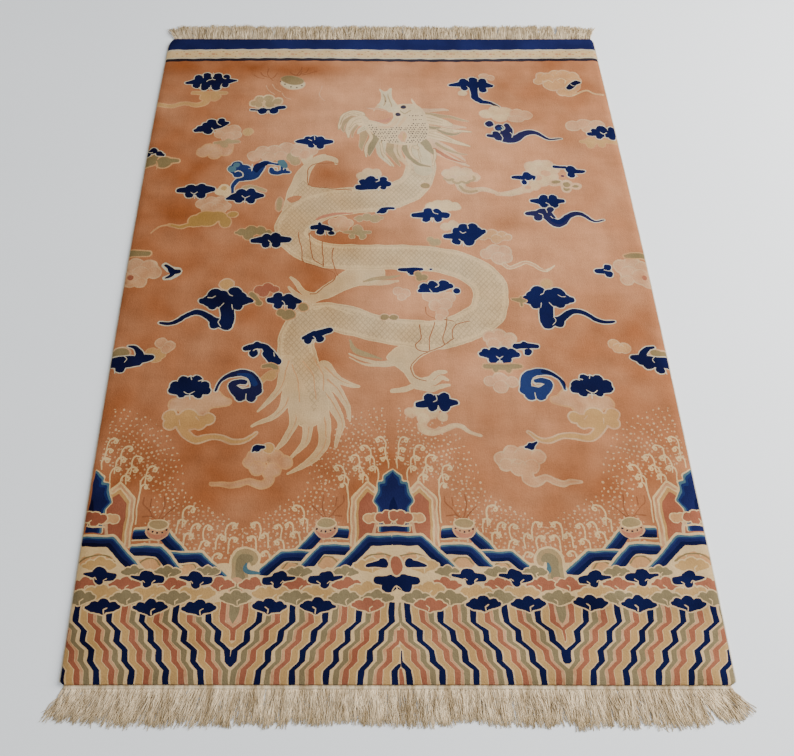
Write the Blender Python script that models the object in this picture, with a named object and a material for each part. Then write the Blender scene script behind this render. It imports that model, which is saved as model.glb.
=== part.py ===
"""A hand-knotted pile rug laid flat on a floor.

The rug is five pieces: the knotted body, a wrapped cord along each long side, and
at each short end a woven web whose warp ends lie on the floor as a fringe.
Units are metres and +Z is up. The rug lies on the plane z = 0, with the origin in
the middle of its footprint. The near end, with the striped wave panel, is at -Y.
"""

import math
import random

import bmesh
import bpy
import numpy as np
from mathutils import Vector, noise

# The knotted body, measured over its pile
PILE_WIDTH = 1.300
PILE_LENGTH = 1.885
PILE_HEIGHT = 0.011

# A rug from a hand loom is a little wider at mid length and its ends wander
SIDE_BOW = 0.0085
SIDE_WANDER = 0.0012
END_WANDER = 0.0022
TOP_WANDER = 0.0005
WANDER_PER_METRE = 3.0

# The pile rolls down towards the foundation along its rim
RIM_DROP = 0.0035
RIM_ROLL = 0.016

# Mesh lines kept close to each edge, and the even lines between them
RIM_LINES = (0.0, 0.003, 0.008, 0.016, 0.030)
EVEN_COLUMNS = 14
EVEN_ROWS = 20

# One corner was pulled round on the loom, the others are nearly square: the reach of
# each rounding across and along the rug
CORNER_ROUND = {
    (-1, -1): (0.008, 0.008),
    (1, -1): (0.008, 0.008),
    (-1, 1): (0.016, 0.042),
    (1, 1): (0.008, 0.016),
}

# Meshes that would touch keep this much air between them
JOINT_GAP = 0.0003

# The cord over the outermost warps
CORD_DIAMETER = 0.005

# The woven web at each end and the warp ends that grow out of it
WEB_HEIGHT = 0.0032
STRANDS = 130
STRAND_ARCH = 0.0012

# Width and height of a strand at even steps from just past its root to its tip
STRAND_SECTIONS = ((0.0060, 0.0042), (0.0056, 0.0040), (0.0048, 0.0034), (0.0026, 0.0021))

# Neighbouring strands gather into locks and wisps, and bend together
LOCK_PERIOD = 11.0
LOCK_SWAY = 0.0034
WISP_PERIOD = 4.6
WISP_SWAY = 0.0013
BEND_SWAY = 0.0022
LENGTH_SPREAD = 0.07

# How the fringe lies at places across the rug: across runs from the left corner, 0,
# to the right corner, 1; lean is in degrees, to the right; reach is the length
NEAR_FRINGE = {
    "side": -1,
    "web_depth": 0.008,
    "seed": 11,
    "across": (0.00, 0.06, 0.16, 0.28, 0.42, 0.55, 0.60, 0.66, 0.78, 0.90, 0.96, 1.00),
    "lean": (-28, -26, -20, -10, -2, 1, 4, 5, 6, 12, 27, 41),
    "reach": (0.068, 0.074, 0.075, 0.072, 0.066, 0.072, 0.064, 0.073, 0.072, 0.076, 0.074, 0.062),
}
FAR_FRINGE = {
    "side": 1,
    "web_depth": 0.006,
    "seed": 23,
    "across": (0.00, 0.04, 0.12, 0.30, 0.50, 0.70, 0.88, 0.96, 1.00),
    "lean": (-22, -12, -4, -1, 0, 2, 4, 10, 18),
    "reach": (0.052, 0.055, 0.058, 0.054, 0.057, 0.053, 0.058, 0.055, 0.050),
}


def plain_material(name, color, roughness):
    """A matt Principled material in the piece's own colour."""
    material = bpy.data.materials.new(name)
    material.use_nodes = True
    shader = material.node_tree.nodes["Principled BSDF"]
    shader.inputs["Base Color"].default_value = (*color, 1.0)
    shader.inputs["Roughness"].default_value = roughness
    shader.inputs["Metallic"].default_value = 0.0
    return material


def smooth_wander(place, lane):
    """Slow unevenness between -1 and 1 along a line; each lane wanders by itself."""
    return noise.noise(Vector((place * WANDER_PER_METRE, lane * 7.3, 0.4)))


def mesh_lines(length, even_lines):
    """Places of the mesh lines along a length, counted from its middle."""
    half = length / 2
    even = np.linspace(-half + RIM_LINES[-1], half - RIM_LINES[-1], even_lines)
    rim = np.array(RIM_LINES[:-1])
    return np.concatenate([rim - half, even, (half - rim)[::-1]])


def rounded(x, y):
    """A point of the plain rectangle, drawn in where its corner is round."""
    side_x = -1 if x < 0 else 1
    side_y = -1 if y < 0 else 1
    reach_x, reach_y = CORNER_ROUND[side_x, side_y]
    start_x = PILE_WIDTH / 2 - reach_x
    start_y = PILE_LENGTH / 2 - reach_y
    out_x = (abs(x) - start_x) / reach_x
    out_y = (abs(y) - start_y) / reach_y
    if out_x <= 0 or out_y <= 0:
        return x, y
    round_x = start_x + reach_x * out_x * math.sqrt(1 - out_y * out_y / 2)
    round_y = start_y + reach_y * out_y * math.sqrt(1 - out_x * out_x / 2)
    return side_x * round_x, side_y * round_y


def pile_place(x, y):
    """Where the loom left a point of the plain rectangle."""
    share_x = 2 * x / PILE_WIDTH
    share_y = 2 * y / PILE_LENGTH
    x, y = rounded(x, y)
    bow = SIDE_BOW * (1 - share_y * share_y)
    side_lane = -1 if share_x < 0 else 1
    end_lane = -2 if share_y < 0 else 2
    bow += SIDE_WANDER * smooth_wander(y, side_lane)
    moved_x = x + share_x * bow
    moved_y = y + share_y * END_WANDER * smooth_wander(x, end_lane)
    return moved_x, moved_y


def pile_top(x, y):
    """Height of the pile over a point of the plain rectangle."""
    edge = min(PILE_WIDTH / 2 - abs(x), PILE_LENGTH / 2 - abs(y))
    roll = max(0.0, 1 - edge / RIM_ROLL)
    uneven = TOP_WANDER * noise.noise(Vector((x * 4, y * 4, 3.1)))
    return PILE_HEIGHT + uneven - RIM_DROP * roll * roll


def object_from(name, bm, material, parent):
    """Closes a bmesh into a smooth-shaded object of the rug."""
    bmesh.ops.recalc_face_normals(bm, faces=bm.faces)
    mesh = bpy.data.meshes.new(name)
    bm.to_mesh(mesh)
    bm.free()
    mesh.materials.append(material)
    mesh.shade_smooth()
    mesh.set_sharp_from_angle(angle=math.radians(40))
    piece = bpy.data.objects.new(name, mesh)
    rug_collection.objects.link(piece)
    piece.parent = parent
    return piece


def build_pile(columns, rows, parent):
    """The knotted slab: a grid laid to the loom's outline, raised by the pile."""
    bm = bmesh.new()
    bmesh.ops.create_grid(bm, x_segments=len(columns) - 1, y_segments=len(rows) - 1, size=0.5)
    plain = {}
    for vert in bm.verts:
        column = round((vert.co.x + 0.5) * (len(columns) - 1))
        row = round((vert.co.y + 0.5) * (len(rows) - 1))
        plain[vert] = (columns[column], rows[row])
    for vert, (x, y) in plain.items():
        vert.co = (*pile_place(x, y), 0.0)
    heights = {vert.co.copy().freeze(): pile_top(x, y) for vert, (x, y) in plain.items()}
    raised = bmesh.ops.extrude_face_region(bm, geom=bm.faces[:], use_keep_orig=True)
    for item in raised["geom"]:
        if isinstance(item, bmesh.types.BMVert):
            item.co.z = heights[item.co.copy().freeze()]
    color = plain_material("knotted_wool", (0.52, 0.27, 0.15), 0.95)
    return object_from("pile_body", bm, color, parent)


def build_selvedge(name, path, outward, parent):
    """A round cord that follows a side of the pile, clear of it by the joint gap."""
    reach = CORD_DIAMETER / 2 + JOINT_GAP
    curve = bpy.data.curves.new(name, "CURVE")
    curve.dimensions = "3D"
    curve.bevel_depth = CORD_DIAMETER / 2
    curve.bevel_resolution = 2
    curve.use_fill_caps = True
    spline = curve.splines.new("POLY")
    spline.points.add(len(path) - 1)
    for index, point in enumerate(path):
        before = Vector(path[max(index - 1, 0)])
        after = Vector(path[min(index + 1, len(path) - 1)])
        along = (after - before).normalized()
        across = Vector((along.y, -along.x)) * outward
        place = Vector(point) + across * reach
        spline.points[index].co = (place.x, place.y, CORD_DIAMETER / 2, 1.0)
    curve.materials.append(plain_material(name, (0.68, 0.62, 0.50), 0.9))
    cord = bpy.data.objects.new(name, curve)
    rug_collection.objects.link(cord)
    cord.parent = parent
    return cord


def strand_route(index, root, fringe, chance):
    """Centre points of one strand, from its root in the web to its tip on the floor."""
    share = (index + 0.5) / STRANDS
    lean = math.radians(np.interp(share, fringe["across"], fringe["lean"]))
    reach = np.interp(share, fringe["across"], fringe["reach"])
    reach *= 1 + LENGTH_SPREAD * chance.uniform(-1, 1)
    lock = LOCK_SWAY * math.sin(math.tau * index / LOCK_PERIOD + fringe["seed"])
    wisp = WISP_SWAY * math.sin(math.tau * index / WISP_PERIOD)
    bend = BEND_SWAY * noise.noise(Vector((share * 14, fringe["seed"], 0.7)))
    arch = STRAND_ARCH * chance.uniform(0, 1)
    route = []
    for step in range(1, len(STRAND_SECTIONS) + 1):
        part = step / len(STRAND_SECTIONS)
        sideways = (reach * math.sin(lean) + lock + wisp) * part**1.25
        sideways += bend * math.sin(math.tau * part)
        outward = fringe["side"] * reach * math.cos(lean) * part
        lift = arch * math.sin(math.pi * part)
        route.append(root + Vector((sideways, outward, lift)))
    return route


def grow_strand(bm, face, route):
    """Extrudes a root face along its route, narrowing it to the tip."""
    middle = face.calc_center_median()
    corners = [(vert.co.x > middle.x, vert.co.z > middle.z) for vert in face.verts]
    before = Vector((middle.x, middle.y, 0))
    for centre, (width, height) in zip(route, STRAND_SECTIONS):
        face = bmesh.ops.extrude_discrete_faces(bm, faces=[face])["faces"][0]
        along = centre - before
        across = Vector((abs(along.y), -along.x * math.copysign(1, along.y), 0)).normalized()
        for vert, (is_right, is_top) in zip(face.verts, corners):
            vert.co = centre + across * (width / 2 if is_right else -width / 2)
            vert.co.z += height if is_top else 0.0
        before = centre


def build_fringe(name, fringe, edge, start_x, end_x, parent):
    """The web along one end of the pile, and the strands that grow out of it."""
    side = fringe["side"]
    chance = random.Random(fringe["seed"])
    edge_x = [point[0] for point in edge]
    edge_y = [point[1] for point in edge]
    bm = bmesh.new()
    bmesh.ops.create_grid(bm, x_segments=STRANDS, y_segments=1, size=0.5)
    for vert in bm.verts:
        x = start_x + (vert.co.x + 0.5) * (end_x - start_x)
        is_outer = (vert.co.y > 0) == (side > 0)
        depth = JOINT_GAP + (fringe["web_depth"] if is_outer else 0.0)
        vert.co = (x, np.interp(x, edge_x, edge_y) + side * depth, 0.0)
    raised = bmesh.ops.extrude_face_region(bm, geom=bm.faces[:], use_keep_orig=True)
    for item in raised["geom"]:
        if isinstance(item, bmesh.types.BMVert):
            item.co.z = WEB_HEIGHT
    bmesh.ops.recalc_face_normals(bm, faces=bm.faces)
    roots = [face for face in bm.faces if face.normal.y * side > 0.5]
    roots.sort(key=lambda face: face.calc_center_median().x)
    for index, face in enumerate(roots):
        middle = face.calc_center_median()
        root = Vector((middle.x, middle.y, 0))
        grow_strand(bm, face, strand_route(index, root, fringe, chance))
    color = plain_material(name, (0.56, 0.46, 0.32), 0.9)
    return object_from(name, bm, color, parent)


def centre_footprint(frame):
    """Moves the rug so that the origin is the middle of its footprint."""
    bpy.context.view_layer.update()
    corners = [
        piece.matrix_world @ Vector(corner)
        for piece in rug_collection.objects
        if piece.type != "EMPTY"
        for corner in piece.bound_box
    ]
    low_x = min(corner.x for corner in corners)
    high_x = max(corner.x for corner in corners)
    low_y = min(corner.y for corner in corners)
    high_y = max(corner.y for corner in corners)
    frame.location = (-(low_x + high_x) / 2, -(low_y + high_y) / 2, 0)


for old in list(bpy.data.objects):
    bpy.data.objects.remove(old, do_unlink=True)

rug_collection = bpy.data.collections.new("pile_rug")
bpy.context.scene.collection.children.link(rug_collection)
rug_frame = bpy.data.objects.new("rug_frame", None)
rug_collection.objects.link(rug_frame)

column_lines = mesh_lines(PILE_WIDTH, EVEN_COLUMNS)
row_lines = mesh_lines(PILE_LENGTH, EVEN_ROWS)
build_pile(column_lines, row_lines, rug_frame)

# The selvedges stop where the corners turn into the ends
last_row = len(row_lines) - 1
left_side = [pile_place(column_lines[0], row) for row in row_lines[1:last_row]]
right_side = [pile_place(column_lines[-1], row) for row in row_lines[1:last_row]]
build_selvedge("selvedge_left", left_side, -1, rug_frame)
build_selvedge("selvedge_right", right_side, 1, rug_frame)

near_edge = [pile_place(column, row_lines[0]) for column in column_lines]
far_edge = [pile_place(column, row_lines[-1]) for column in column_lines]
near_start = near_edge[2][0]
near_end = near_edge[-3][0]
far_start = far_edge[3][0]
far_end = far_edge[-3][0]
build_fringe("fringe_near", NEAR_FRINGE, near_edge, near_start, near_end, rug_frame)
build_fringe("fringe_far", FAR_FRINGE, far_edge, far_start, far_end, rug_frame)

centre_footprint(rug_frame)
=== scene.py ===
# %% [markdown]
# A khaden is a hand-knotted rug, about as large as a bed, to sit and sleep on. Wool
# is knotted row by row over cotton warps, and the warp ends stay on as a fringe.
# The measured rug comes first: it gives each piece its place, and nothing moves it.

# %% Load the measured rug
import math

import bpy
import numpy as np
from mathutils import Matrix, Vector, noise
from mathutils.geometry import delaunay_2d_cdt
from mathutils.kdtree import KDTree


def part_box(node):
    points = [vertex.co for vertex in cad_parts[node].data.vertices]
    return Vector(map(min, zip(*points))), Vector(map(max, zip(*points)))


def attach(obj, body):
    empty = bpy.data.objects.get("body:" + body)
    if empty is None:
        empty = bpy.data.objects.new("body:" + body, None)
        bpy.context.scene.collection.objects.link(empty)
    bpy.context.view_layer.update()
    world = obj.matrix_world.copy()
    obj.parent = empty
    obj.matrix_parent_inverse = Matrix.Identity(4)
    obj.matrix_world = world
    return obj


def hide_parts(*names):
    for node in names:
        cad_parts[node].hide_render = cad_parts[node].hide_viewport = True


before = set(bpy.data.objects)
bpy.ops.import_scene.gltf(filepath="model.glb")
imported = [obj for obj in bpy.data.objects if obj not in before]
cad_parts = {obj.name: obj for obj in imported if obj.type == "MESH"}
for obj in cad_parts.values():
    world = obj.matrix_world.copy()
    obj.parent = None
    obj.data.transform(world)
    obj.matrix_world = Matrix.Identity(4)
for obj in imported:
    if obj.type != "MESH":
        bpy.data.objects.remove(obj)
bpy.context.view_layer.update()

print("pieces of the measured rug:", sorted(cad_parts))

# %% [markdown]
# The photograph looks down at the rug from its striped end and is cropped off centre.
# A small sideways shift repeats the crop, so that the rug's sides lean as they do there.

# %% Camera, floor and soft light
IMAGE_WIDTH = 794
FOCAL_PIXELS = 813.5
SENSOR_WIDTH = 36.0
CROP_SHIFT = 43.7 / IMAGE_WIDTH
CAMERA_FROM_PILE = Vector((-0.087, -1.2135, 1.656))
CAMERA_PITCH = math.radians(60.01)
CAMERA_ROLL = math.radians(-0.04)
FLOOR_SIZE = 9.0

pile_low, pile_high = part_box("pile_body")
pile_middle = (pile_low + pile_high) / 2


def new_object(name, data):
    """Links new data to the scene under a name."""
    made = bpy.data.objects.new(name, data)
    bpy.context.scene.collection.objects.link(made)
    return made


camera = new_object("photo_camera", bpy.data.cameras.new("photo_camera"))
camera.data.sensor_width = SENSOR_WIDTH
camera.data.lens = FOCAL_PIXELS / IMAGE_WIDTH * SENSOR_WIDTH
camera.data.shift_x = CROP_SHIFT
camera.location = Vector((pile_middle.x, pile_middle.y, 0)) + CAMERA_FROM_PILE
camera.rotation_euler = (math.radians(90) - CAMERA_PITCH, CAMERA_ROLL, 0)
bpy.context.scene.camera = camera

bpy.ops.object.select_all(action="DESELECT")
bpy.ops.mesh.primitive_plane_add(size=FLOOR_SIZE)
floor = bpy.context.object
floor.name = "floor"


def softbox(name, place, aim, size, watts):
    """A large area light that looks at a point."""
    light = bpy.data.lights.new(name, "AREA")
    light.shape = "RECTANGLE"
    light.size, light.size_y = size
    light.energy = watts
    lamp = new_object(name, light)
    lamp.location = place
    lamp.rotation_euler = (Vector(aim) - Vector(place)).to_track_quat("-Z", "Y").to_euler()


softbox("window_light", (3.0, 0.5, 2.1), (0.4, 0.1, 0), (2.6, 2.6), 262)
softbox("room_fill", (-2.6, -0.8, 3.2), (0, 0, 0), (3.0, 3.0), 16)
studio = bpy.data.worlds.new("studio")
studio.use_nodes = True
studio.node_tree.nodes["Background"].inputs["Color"].default_value = (0.92, 0.96, 1.0, 1)
studio.node_tree.nodes["Background"].inputs["Strength"].default_value = 0.62
bpy.context.scene.world = studio
print("camera lens", round(camera.data.lens, 2), "mm")

# %% [markdown]
# The weaver works from a chart. Ours is drawn in millimetres on the rug itself: x runs
# from the left edge, y from the plain blue end down to the striped end. A shape is an
# outline and a dye, and a later shape covers an earlier one, as on paper.

# %% Drawing tools: smooth lines, discs and arms
CHART_WIDTH = 1300.0
CHART_LENGTH = 1885.0
KNOT = 3.7
chart = []


def bend(rows, closed=False):
    """A smooth line through given rows (x, y, ...), with a point every knot."""
    rows = np.asarray(rows, float)
    first = rows[-1:] if closed else 2 * rows[:1] - rows[1:2]
    last = rows[:2] if closed else 2 * rows[-1:] - rows[-2:-1]
    stops = np.concatenate([first, rows, last])
    line = []
    for a, b, c, d in zip(stops, stops[1:], stops[2:], stops[3:]):
        steps = max(1, round(math.dist(b[:2], c[:2]) / KNOT))
        t = np.arange(steps)[:, None] / steps
        curve = (c - a) * t + (2 * a - 5 * b + 4 * c - d) * t**2 + (3 * b - a - 3 * c + d) * t**3
        line.append(b + curve / 2)
    if not closed:
        line.append(rows[-1:])
    return np.concatenate(line)


def oval(x, y, radius, radius_y=None, tilt=0.0):
    """The outline of a disc, or of an oval tilted by degrees."""
    radius_y = radius_y or radius
    count = max(8, round(math.tau * max(radius, radius_y) / KNOT))
    angle = np.arange(count) * math.tau / count
    across, down = radius * np.cos(angle), radius_y * np.sin(angle)
    turn = math.radians(tilt)
    turned_x = x + across * math.cos(turn) - down * math.sin(turn)
    turned_y = y + across * math.sin(turn) + down * math.cos(turn)
    return np.stack([turned_x, turned_y], 1)


def arm(rows, grow=0.0, width=None):
    """The outline of a bent arm: rows (x, y, width), rounded at both ends."""
    rows = np.asarray([(*row, width)[:3] for row in rows], float)
    line = bend(rows)
    along = np.gradient(line[:, :2], axis=0)
    along /= np.maximum(np.linalg.norm(along, axis=1), 1e-6)[:, None]
    half = np.maximum(line[:, 2:] / 2 + grow, 0.6)
    side = np.stack([-along[:, 1], along[:, 0]], 1) * half
    ends = []
    for index, turn in ((-1, 0.0), (0, math.pi)):
        reach = half[index, 0]
        count = max(1, round(math.pi * reach / KNOT) - 1)
        start = math.atan2(side[index, 1], side[index, 0]) + turn
        angle = start - np.arange(1, count + 1) * math.pi / (count + 1)
        ends.append(line[index, :2] + reach * np.stack([np.cos(angle), np.sin(angle)], 1))
    return np.concatenate([line[:, :2] + side, ends[0], (line[:, :2] - side)[::-1], ends[1]])


def straight(corners):
    """A straight-sided outline, with points along its sides so that it can wander."""
    corners = np.asarray(corners, float)
    sides = []
    for a, b in zip(corners, np.roll(corners, -1, axis=0)):
        steps = max(1, round(math.dist(a, b) / (1.5 * KNOT)))
        sides.append(a + (b - a) * np.arange(steps)[:, None] / steps)
    return np.concatenate(sides)


def patch(rows):
    """A smooth closed outline through places on its rim."""
    return bend(rows, closed=True)


def grown(outline, distance):
    """An outline moved outwards by a distance."""
    after = np.roll(outline, -1, axis=0)
    along = after - np.roll(outline, 1, axis=0)
    along /= np.maximum(np.linalg.norm(along, axis=1), 1e-6)[:, None]
    area = np.sum(outline[:, 0] * after[:, 1] - after[:, 0] * outline[:, 1])
    return outline + distance * math.copysign(1, area) * np.stack([along[:, 1], -along[:, 0]], 1)


def here(outline):
    """Leaves an outline where it was drawn."""
    return outline


def mirrored(axis, drop=0.0):
    """A rule that turns outlines over an upright line, and lowers them."""
    return lambda outline: np.stack([2 * axis - outline[:, 0], outline[:, 1] + drop], 1)


def paint(dye, *outlines, at=here):
    """Adds outlines of one dye to the chart."""
    for outline in outlines:
        chart.append((dye, at(outline)))


def rimmed(dye, edge, rim, outline, at=here):
    """One outline in its dye, over a rim of another dye."""
    paint(edge, grown(outline, rim), at=at)
    paint(dye, outline, at=at)


# Clear dyes are knotted a little bolder than they are drawn, and soft ones as drawn
BOLDER = 1.0
SOFT_DYES = ("blush", "pearl", "sand", "tan", "sage", "olive")
# The dye that usually rims a motif of each dye
USUAL_EDGE = {"navy": "ivory", "royal": "ivory", "blue": "ivory", "olive": "sand", "tan": "sand",
              "mustard": "sand", "gold": "sand", "sage": "blush", "pearl": "haze"}


def motif(dye, lobes=(), arms=(), slits=(), edge=None, rim=2.6, slit=2.2, at=here):
    """Discs and arms run together in one dye, with a rim and thin slits of another."""
    edge = edge or USUAL_EDGE.get(dye, "cream")
    bolder = 0.0 if dye in SOFT_DYES else BOLDER
    for color, grow in ((edge, rim + bolder), (dye, bolder)):
        for x, y, radius, *more in lobes:
            more = [more[0] + grow, *more[1:]] if more else []
            paint(color, oval(x, y, radius + grow, *more), at=at)
        for rows in arms:
            paint(color, arm(rows, grow), at=at)
    for rows in slits:
        paint(edge, arm(rows, width=slit), at=at)


def scalloped(dye, lobes, *rest, edge="haze", at=here, **settings):
    """A pale cloud whose lobes show as thin arcs inside it too."""
    motif(dye, lobes, *rest, edge=edge, at=at, **settings)
    turn = np.radians(np.arange(200, 341, 20))
    for x, y, radius, *more in lobes[1:]:
        reach = (more or [radius])[0]
        arc = np.stack([x + radius * np.cos(turn), y + reach * np.sin(turn)], 1)
        paint(edge, arm(arc, width=2.4), at=at)


# %% [markdown]
# Each dye has two colours: fresh, and as the sun and feet have left it. The rug is
# darker on the left and washed out towards the top, so wear is a soft map over the
# chart, and every knot mixes its dye's two colours by it.

# %% Dyes and wear
DYES = {
    "field": ((131, 72, 37), (200, 144, 106)),
    "indigo": ((16, 17, 47), (37, 43, 94)),
    "navy": ((9, 8, 25), (24, 31, 80)),
    "royal": ((13, 13, 39), (41, 40, 77)),
    "blue": ((21, 29, 69), (40, 56, 100)),
    "teal": ((59, 85, 94), (80, 107, 114)),
    "mist": ((114, 130, 112), (156, 168, 145)),
    "ivory": ((168, 153, 123), (194, 187, 168)),
    "cream": ((185, 151, 101), (209, 182, 143)),
    "pearl": ((181, 152, 106), (206, 180, 140)),
    "bone": ((175, 152, 113), (197, 181, 146)),
    "beige": ((171, 133, 86), (204, 183, 146)),
    "scaly": ((171, 133, 86), (204, 183, 146)),
    "haze": ((179, 140, 97), (204, 176, 142)),
    "blush": ((178, 133, 91), (201, 162, 129)),
    "sand": ((179, 132, 84), (189, 148, 106)),
    "gold": ((157, 119, 68), (192, 156, 108)),
    "tan": ((162, 119, 68), (183, 149, 100)),
    "mustard": ((143, 105, 52), (160, 128, 80)),
    "olive": ((104, 88, 54), (143, 125, 91)),
    "moss": ((100, 84, 56), (148, 134, 102)),
    "sage": ((132, 114, 76), (161, 143, 107)),
    "coral": ((118, 60, 39), (174, 116, 89)),
    "rose": ((152, 92, 64), (188, 130, 104)),
    "umber": ((116, 66, 40), (148, 96, 66)),
    "soot": ((30, 20, 22), (60, 56, 68)),
}
# Where the wool is more (+) or less (-) worn: centre, reach and amount
WEAR_PATCHES = (
    (600, 300, 330, 220, 0.48), (770, 600, 140, 200, 0.28), (1010, 560, 230, 180, 0.28),
    (1010, 820, 230, 130, 0.30), (700, 970, 170, 80, 0.34), (860, 1180, 120, 90, 0.30),
    (600, 1230, 110, 100, 0.18), (640, 770, 140, 60, 0.10), (200, 138, 330, 40, -0.22),
    (440, 142, 95, 32, -0.36), (30, 240, 70, 150, 0.12), (120, 712, 90, 40, -0.22),
    (90, 420, 90, 120, -0.08), (960, 745, 90, 34, -0.24), (1140, 210, 180, 130, -0.16),
    (530, 790, 100, 50, -0.26), (470, 950, 80, 60, -0.26), (520, 1150, 90, 40, -0.22),
    (430, 1430, 190, 90, -0.12), (180, 1480, 220, 90, -0.06), (1190, 1080, 120, 70, -0.16),
    (1230, 1300, 120, 110, -0.10), (620, 1440, 80, 60, -0.20), (510, 560, 60, 50, -0.28),
    (1000, 1330, 160, 60, 0.06), (300, 640, 90, 90, 0.06), (330, 420, 120, 90, 0.12),
    (1080, 1480, 320, 110, -0.16),
)
# Wear rises softly from the left side to the right, round this place on the chart
WEAR_LEFT, WEAR_RIGHT = 0.14, 0.40
WEAR_TURN = 330.0
WEAR_SOFT = 150.0
# Slow unevenness on top: amount, waves per millimetre across and down, where it starts
MOTTLES = ((0.03, 0.013, 0.006, 0.4), (0.03, -0.009, 0.017, 2.1), (0.03, 0.031, 0.004, 4.4),
           (0.035, 0.006, -0.041, 1.2), (0.035, 0.058, 0.019, 5.3), (0.035, -0.026, 0.071, 3.2))


def wear_at(x, y):
    """How worn the wool is at places on the chart, from 0, fresh, to 1."""
    rise = 1 / (1 + np.exp(-(x - WEAR_TURN) / WEAR_SOFT))
    wear = WEAR_LEFT + (WEAR_RIGHT - WEAR_LEFT) * rise
    for middle_x, middle_y, reach_x, reach_y, amount in WEAR_PATCHES:
        away = ((x - middle_x) / reach_x) ** 2 + ((y - middle_y) / reach_y) ** 2
        wear += amount * np.exp(-away)
    for amount, per_x, per_y, start in MOTTLES:
        drift = 1.3 * np.sin(x * per_y * 0.7 + y * per_x * 0.6 + 2 * start)
        wear += amount * np.sin(x * per_x + y * per_y + start + drift)
    return np.clip(wear, 0, 1)


def linear(color):
    """An sRGB colour out of 255 as linear light."""
    share = np.asarray(color, float) / 255
    return np.where(share <= 0.04045, share / 12.92, ((share + 0.055) / 1.055) ** 2.4)


dye_names = list(DYES)
fresh_dyes = np.array([linear(DYES[name][0]) for name in dye_names])
faded_dyes = np.array([linear(DYES[name][1]) for name in dye_names])
print(len(DYES), "dyes")

# %% [markdown]
# The far end is plain: a wide blue band, a cream guard stripe with pin dots, and one
# dark line. The bands wave a little, as the weaver's tension changed along the row.

# %% The field and the plain end
# How far the chart is drawn past the rug's edges, which then cut it off
OUTSIDE = 30.0
BAND_WAVE, BAND_WAVE_LENGTH = 2.4, 950
PIN_DOT_STEP = 40.0


def end_band(dye, top, bottom):
    """A band right across the far end, between two heights on the chart."""
    x = np.arange(-OUTSIDE, CHART_WIDTH + OUTSIDE + 1, 2 * KNOT)
    wave = BAND_WAVE * np.sin(math.tau * (x - 600) / BAND_WAVE_LENGTH)
    upper = np.stack([x, top + wave], 1)
    lower = np.stack([x, bottom + wave], 1)
    paint(dye, np.concatenate([upper, lower[::-1]]))


whole = ((-1, -1), (1, -1), (1, 1), (-1, 1))
half_size = (CHART_WIDTH / 2 + OUTSIDE, CHART_LENGTH / 2 + OUTSIDE)
middle_of_chart = (CHART_WIDTH / 2, CHART_LENGTH / 2)
paint("field", straight([np.multiply(corner, half_size) + middle_of_chart for corner in whole]))
end_band("indigo", -OUTSIDE, 52)
end_band("ivory", 52, 94)
end_band("cream", 58, 88)
end_band("soot", 93, 105)
for x in np.arange(30, CHART_WIDTH, PIN_DOT_STEP):
    paint("tan", oval(x, 73, 3.2, 2.6), oval(x + 11, 64, 2.4, 1.8), oval(x - 9, 82, 2.4, 1.8))
    paint("sage", oval(x + 20, 61, 3.4, 2.2), oval(x + 18, 84, 3.0, 2.0))
    paint("blush", oval(x + 30, 72, 6, 4))

# %% [markdown]
# The dragon is one long ribbon of pale wool that doubles back over the field. Only its
# back line, belly line and scales set it off, so the ribbon is drawn once as an arm.

# %% The dragon's body
BODY = [(752, 440, 52), (750, 500, 78), (746, 560, 78), (720, 612, 82), (668, 642, 84), (600, 655, 86),
        (520, 664, 92), (455, 690, 98), (412, 738, 96), (410, 784, 84), (446, 824, 72), (500, 845, 75),
        (600, 850, 76), (700, 850, 74), (785, 860, 76), (852, 884, 80), (900, 930, 84), (903, 985, 84),
        (885, 1030, 84), (824, 1068, 80), (760, 1086, 78), (640, 1072, 72), (560, 1046, 78),
        (500, 1034, 80), (452, 1050, 86), (428, 1100, 84), (432, 1150, 86), (446, 1205, 94),
        (456, 1250, 96), (462, 1296, 74)]
spine = bend(BODY)
spine_turn = np.gradient(spine[:, :2], axis=0)
spine_turn /= np.linalg.norm(spine_turn, axis=1)[:, None]
spine_side = np.stack([-spine_turn[:, 1], spine_turn[:, 0]], 1)
spine_along = np.cumsum(np.linalg.norm(np.diff(spine[:, :2], axis=0, prepend=spine[:1, :2]), axis=1))


def body_line(share, start=0.0, stop=1.0):
    """A line along the body: share is -1 on its left rim and 1 on its right."""
    first, last = int(start * (len(spine) - 1)), int(stop * (len(spine) - 1)) + 1
    across = spine[first:last, 2:] / 2 * share
    return (spine[first:last, :2] + spine_side[first:last] * across)[::3]


def body_place(distance, share):
    """A place at a distance along the body and a share of its half width."""
    row = [np.interp(distance, spine_along, column) for column in (*spine.T, *spine_side.T)]
    return row[0] + row[3] * row[2] / 2 * share, row[1] + row[4] * row[2] / 2 * share


LEGS = (
    [(610, 902, 66), (566, 912, 56), (528, 938, 42), (494, 962, 32), (462, 980, 20)],
    [(424, 690, 92), (420, 640, 68), (420, 594, 42), (430, 556, 30), (446, 526, 24)],
)
for leg in LEGS:
    paint("cream", arm(leg, 2.4))
    paint("beige", arm(leg))
hind_leg = patch([(690, 1080), (682, 1112), (660, 1130), (644, 1150), (660, 1166), (684, 1192), (698, 1216),
                  (714, 1230), (732, 1224), (724, 1212), (706, 1198), (703, 1174), (718, 1152), (742, 1137),
                  (780, 1112), (800, 1070)])
rimmed("beige", "cream", 2.4, hind_leg)
paint("cream", arm(BODY, grow=2.5))
shoulder = patch([(424, 590), (446, 607), (470, 612), (520, 617), (560, 620), (540, 690), (440, 720),
                  (390, 690)])
paint("cream", grown(shoulder, 2))
paint("scaly", arm(BODY), shoulder)
paint("field", patch([(386, 655), (404, 642), (424, 643), (420, 655), (400, 667)]))
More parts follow.
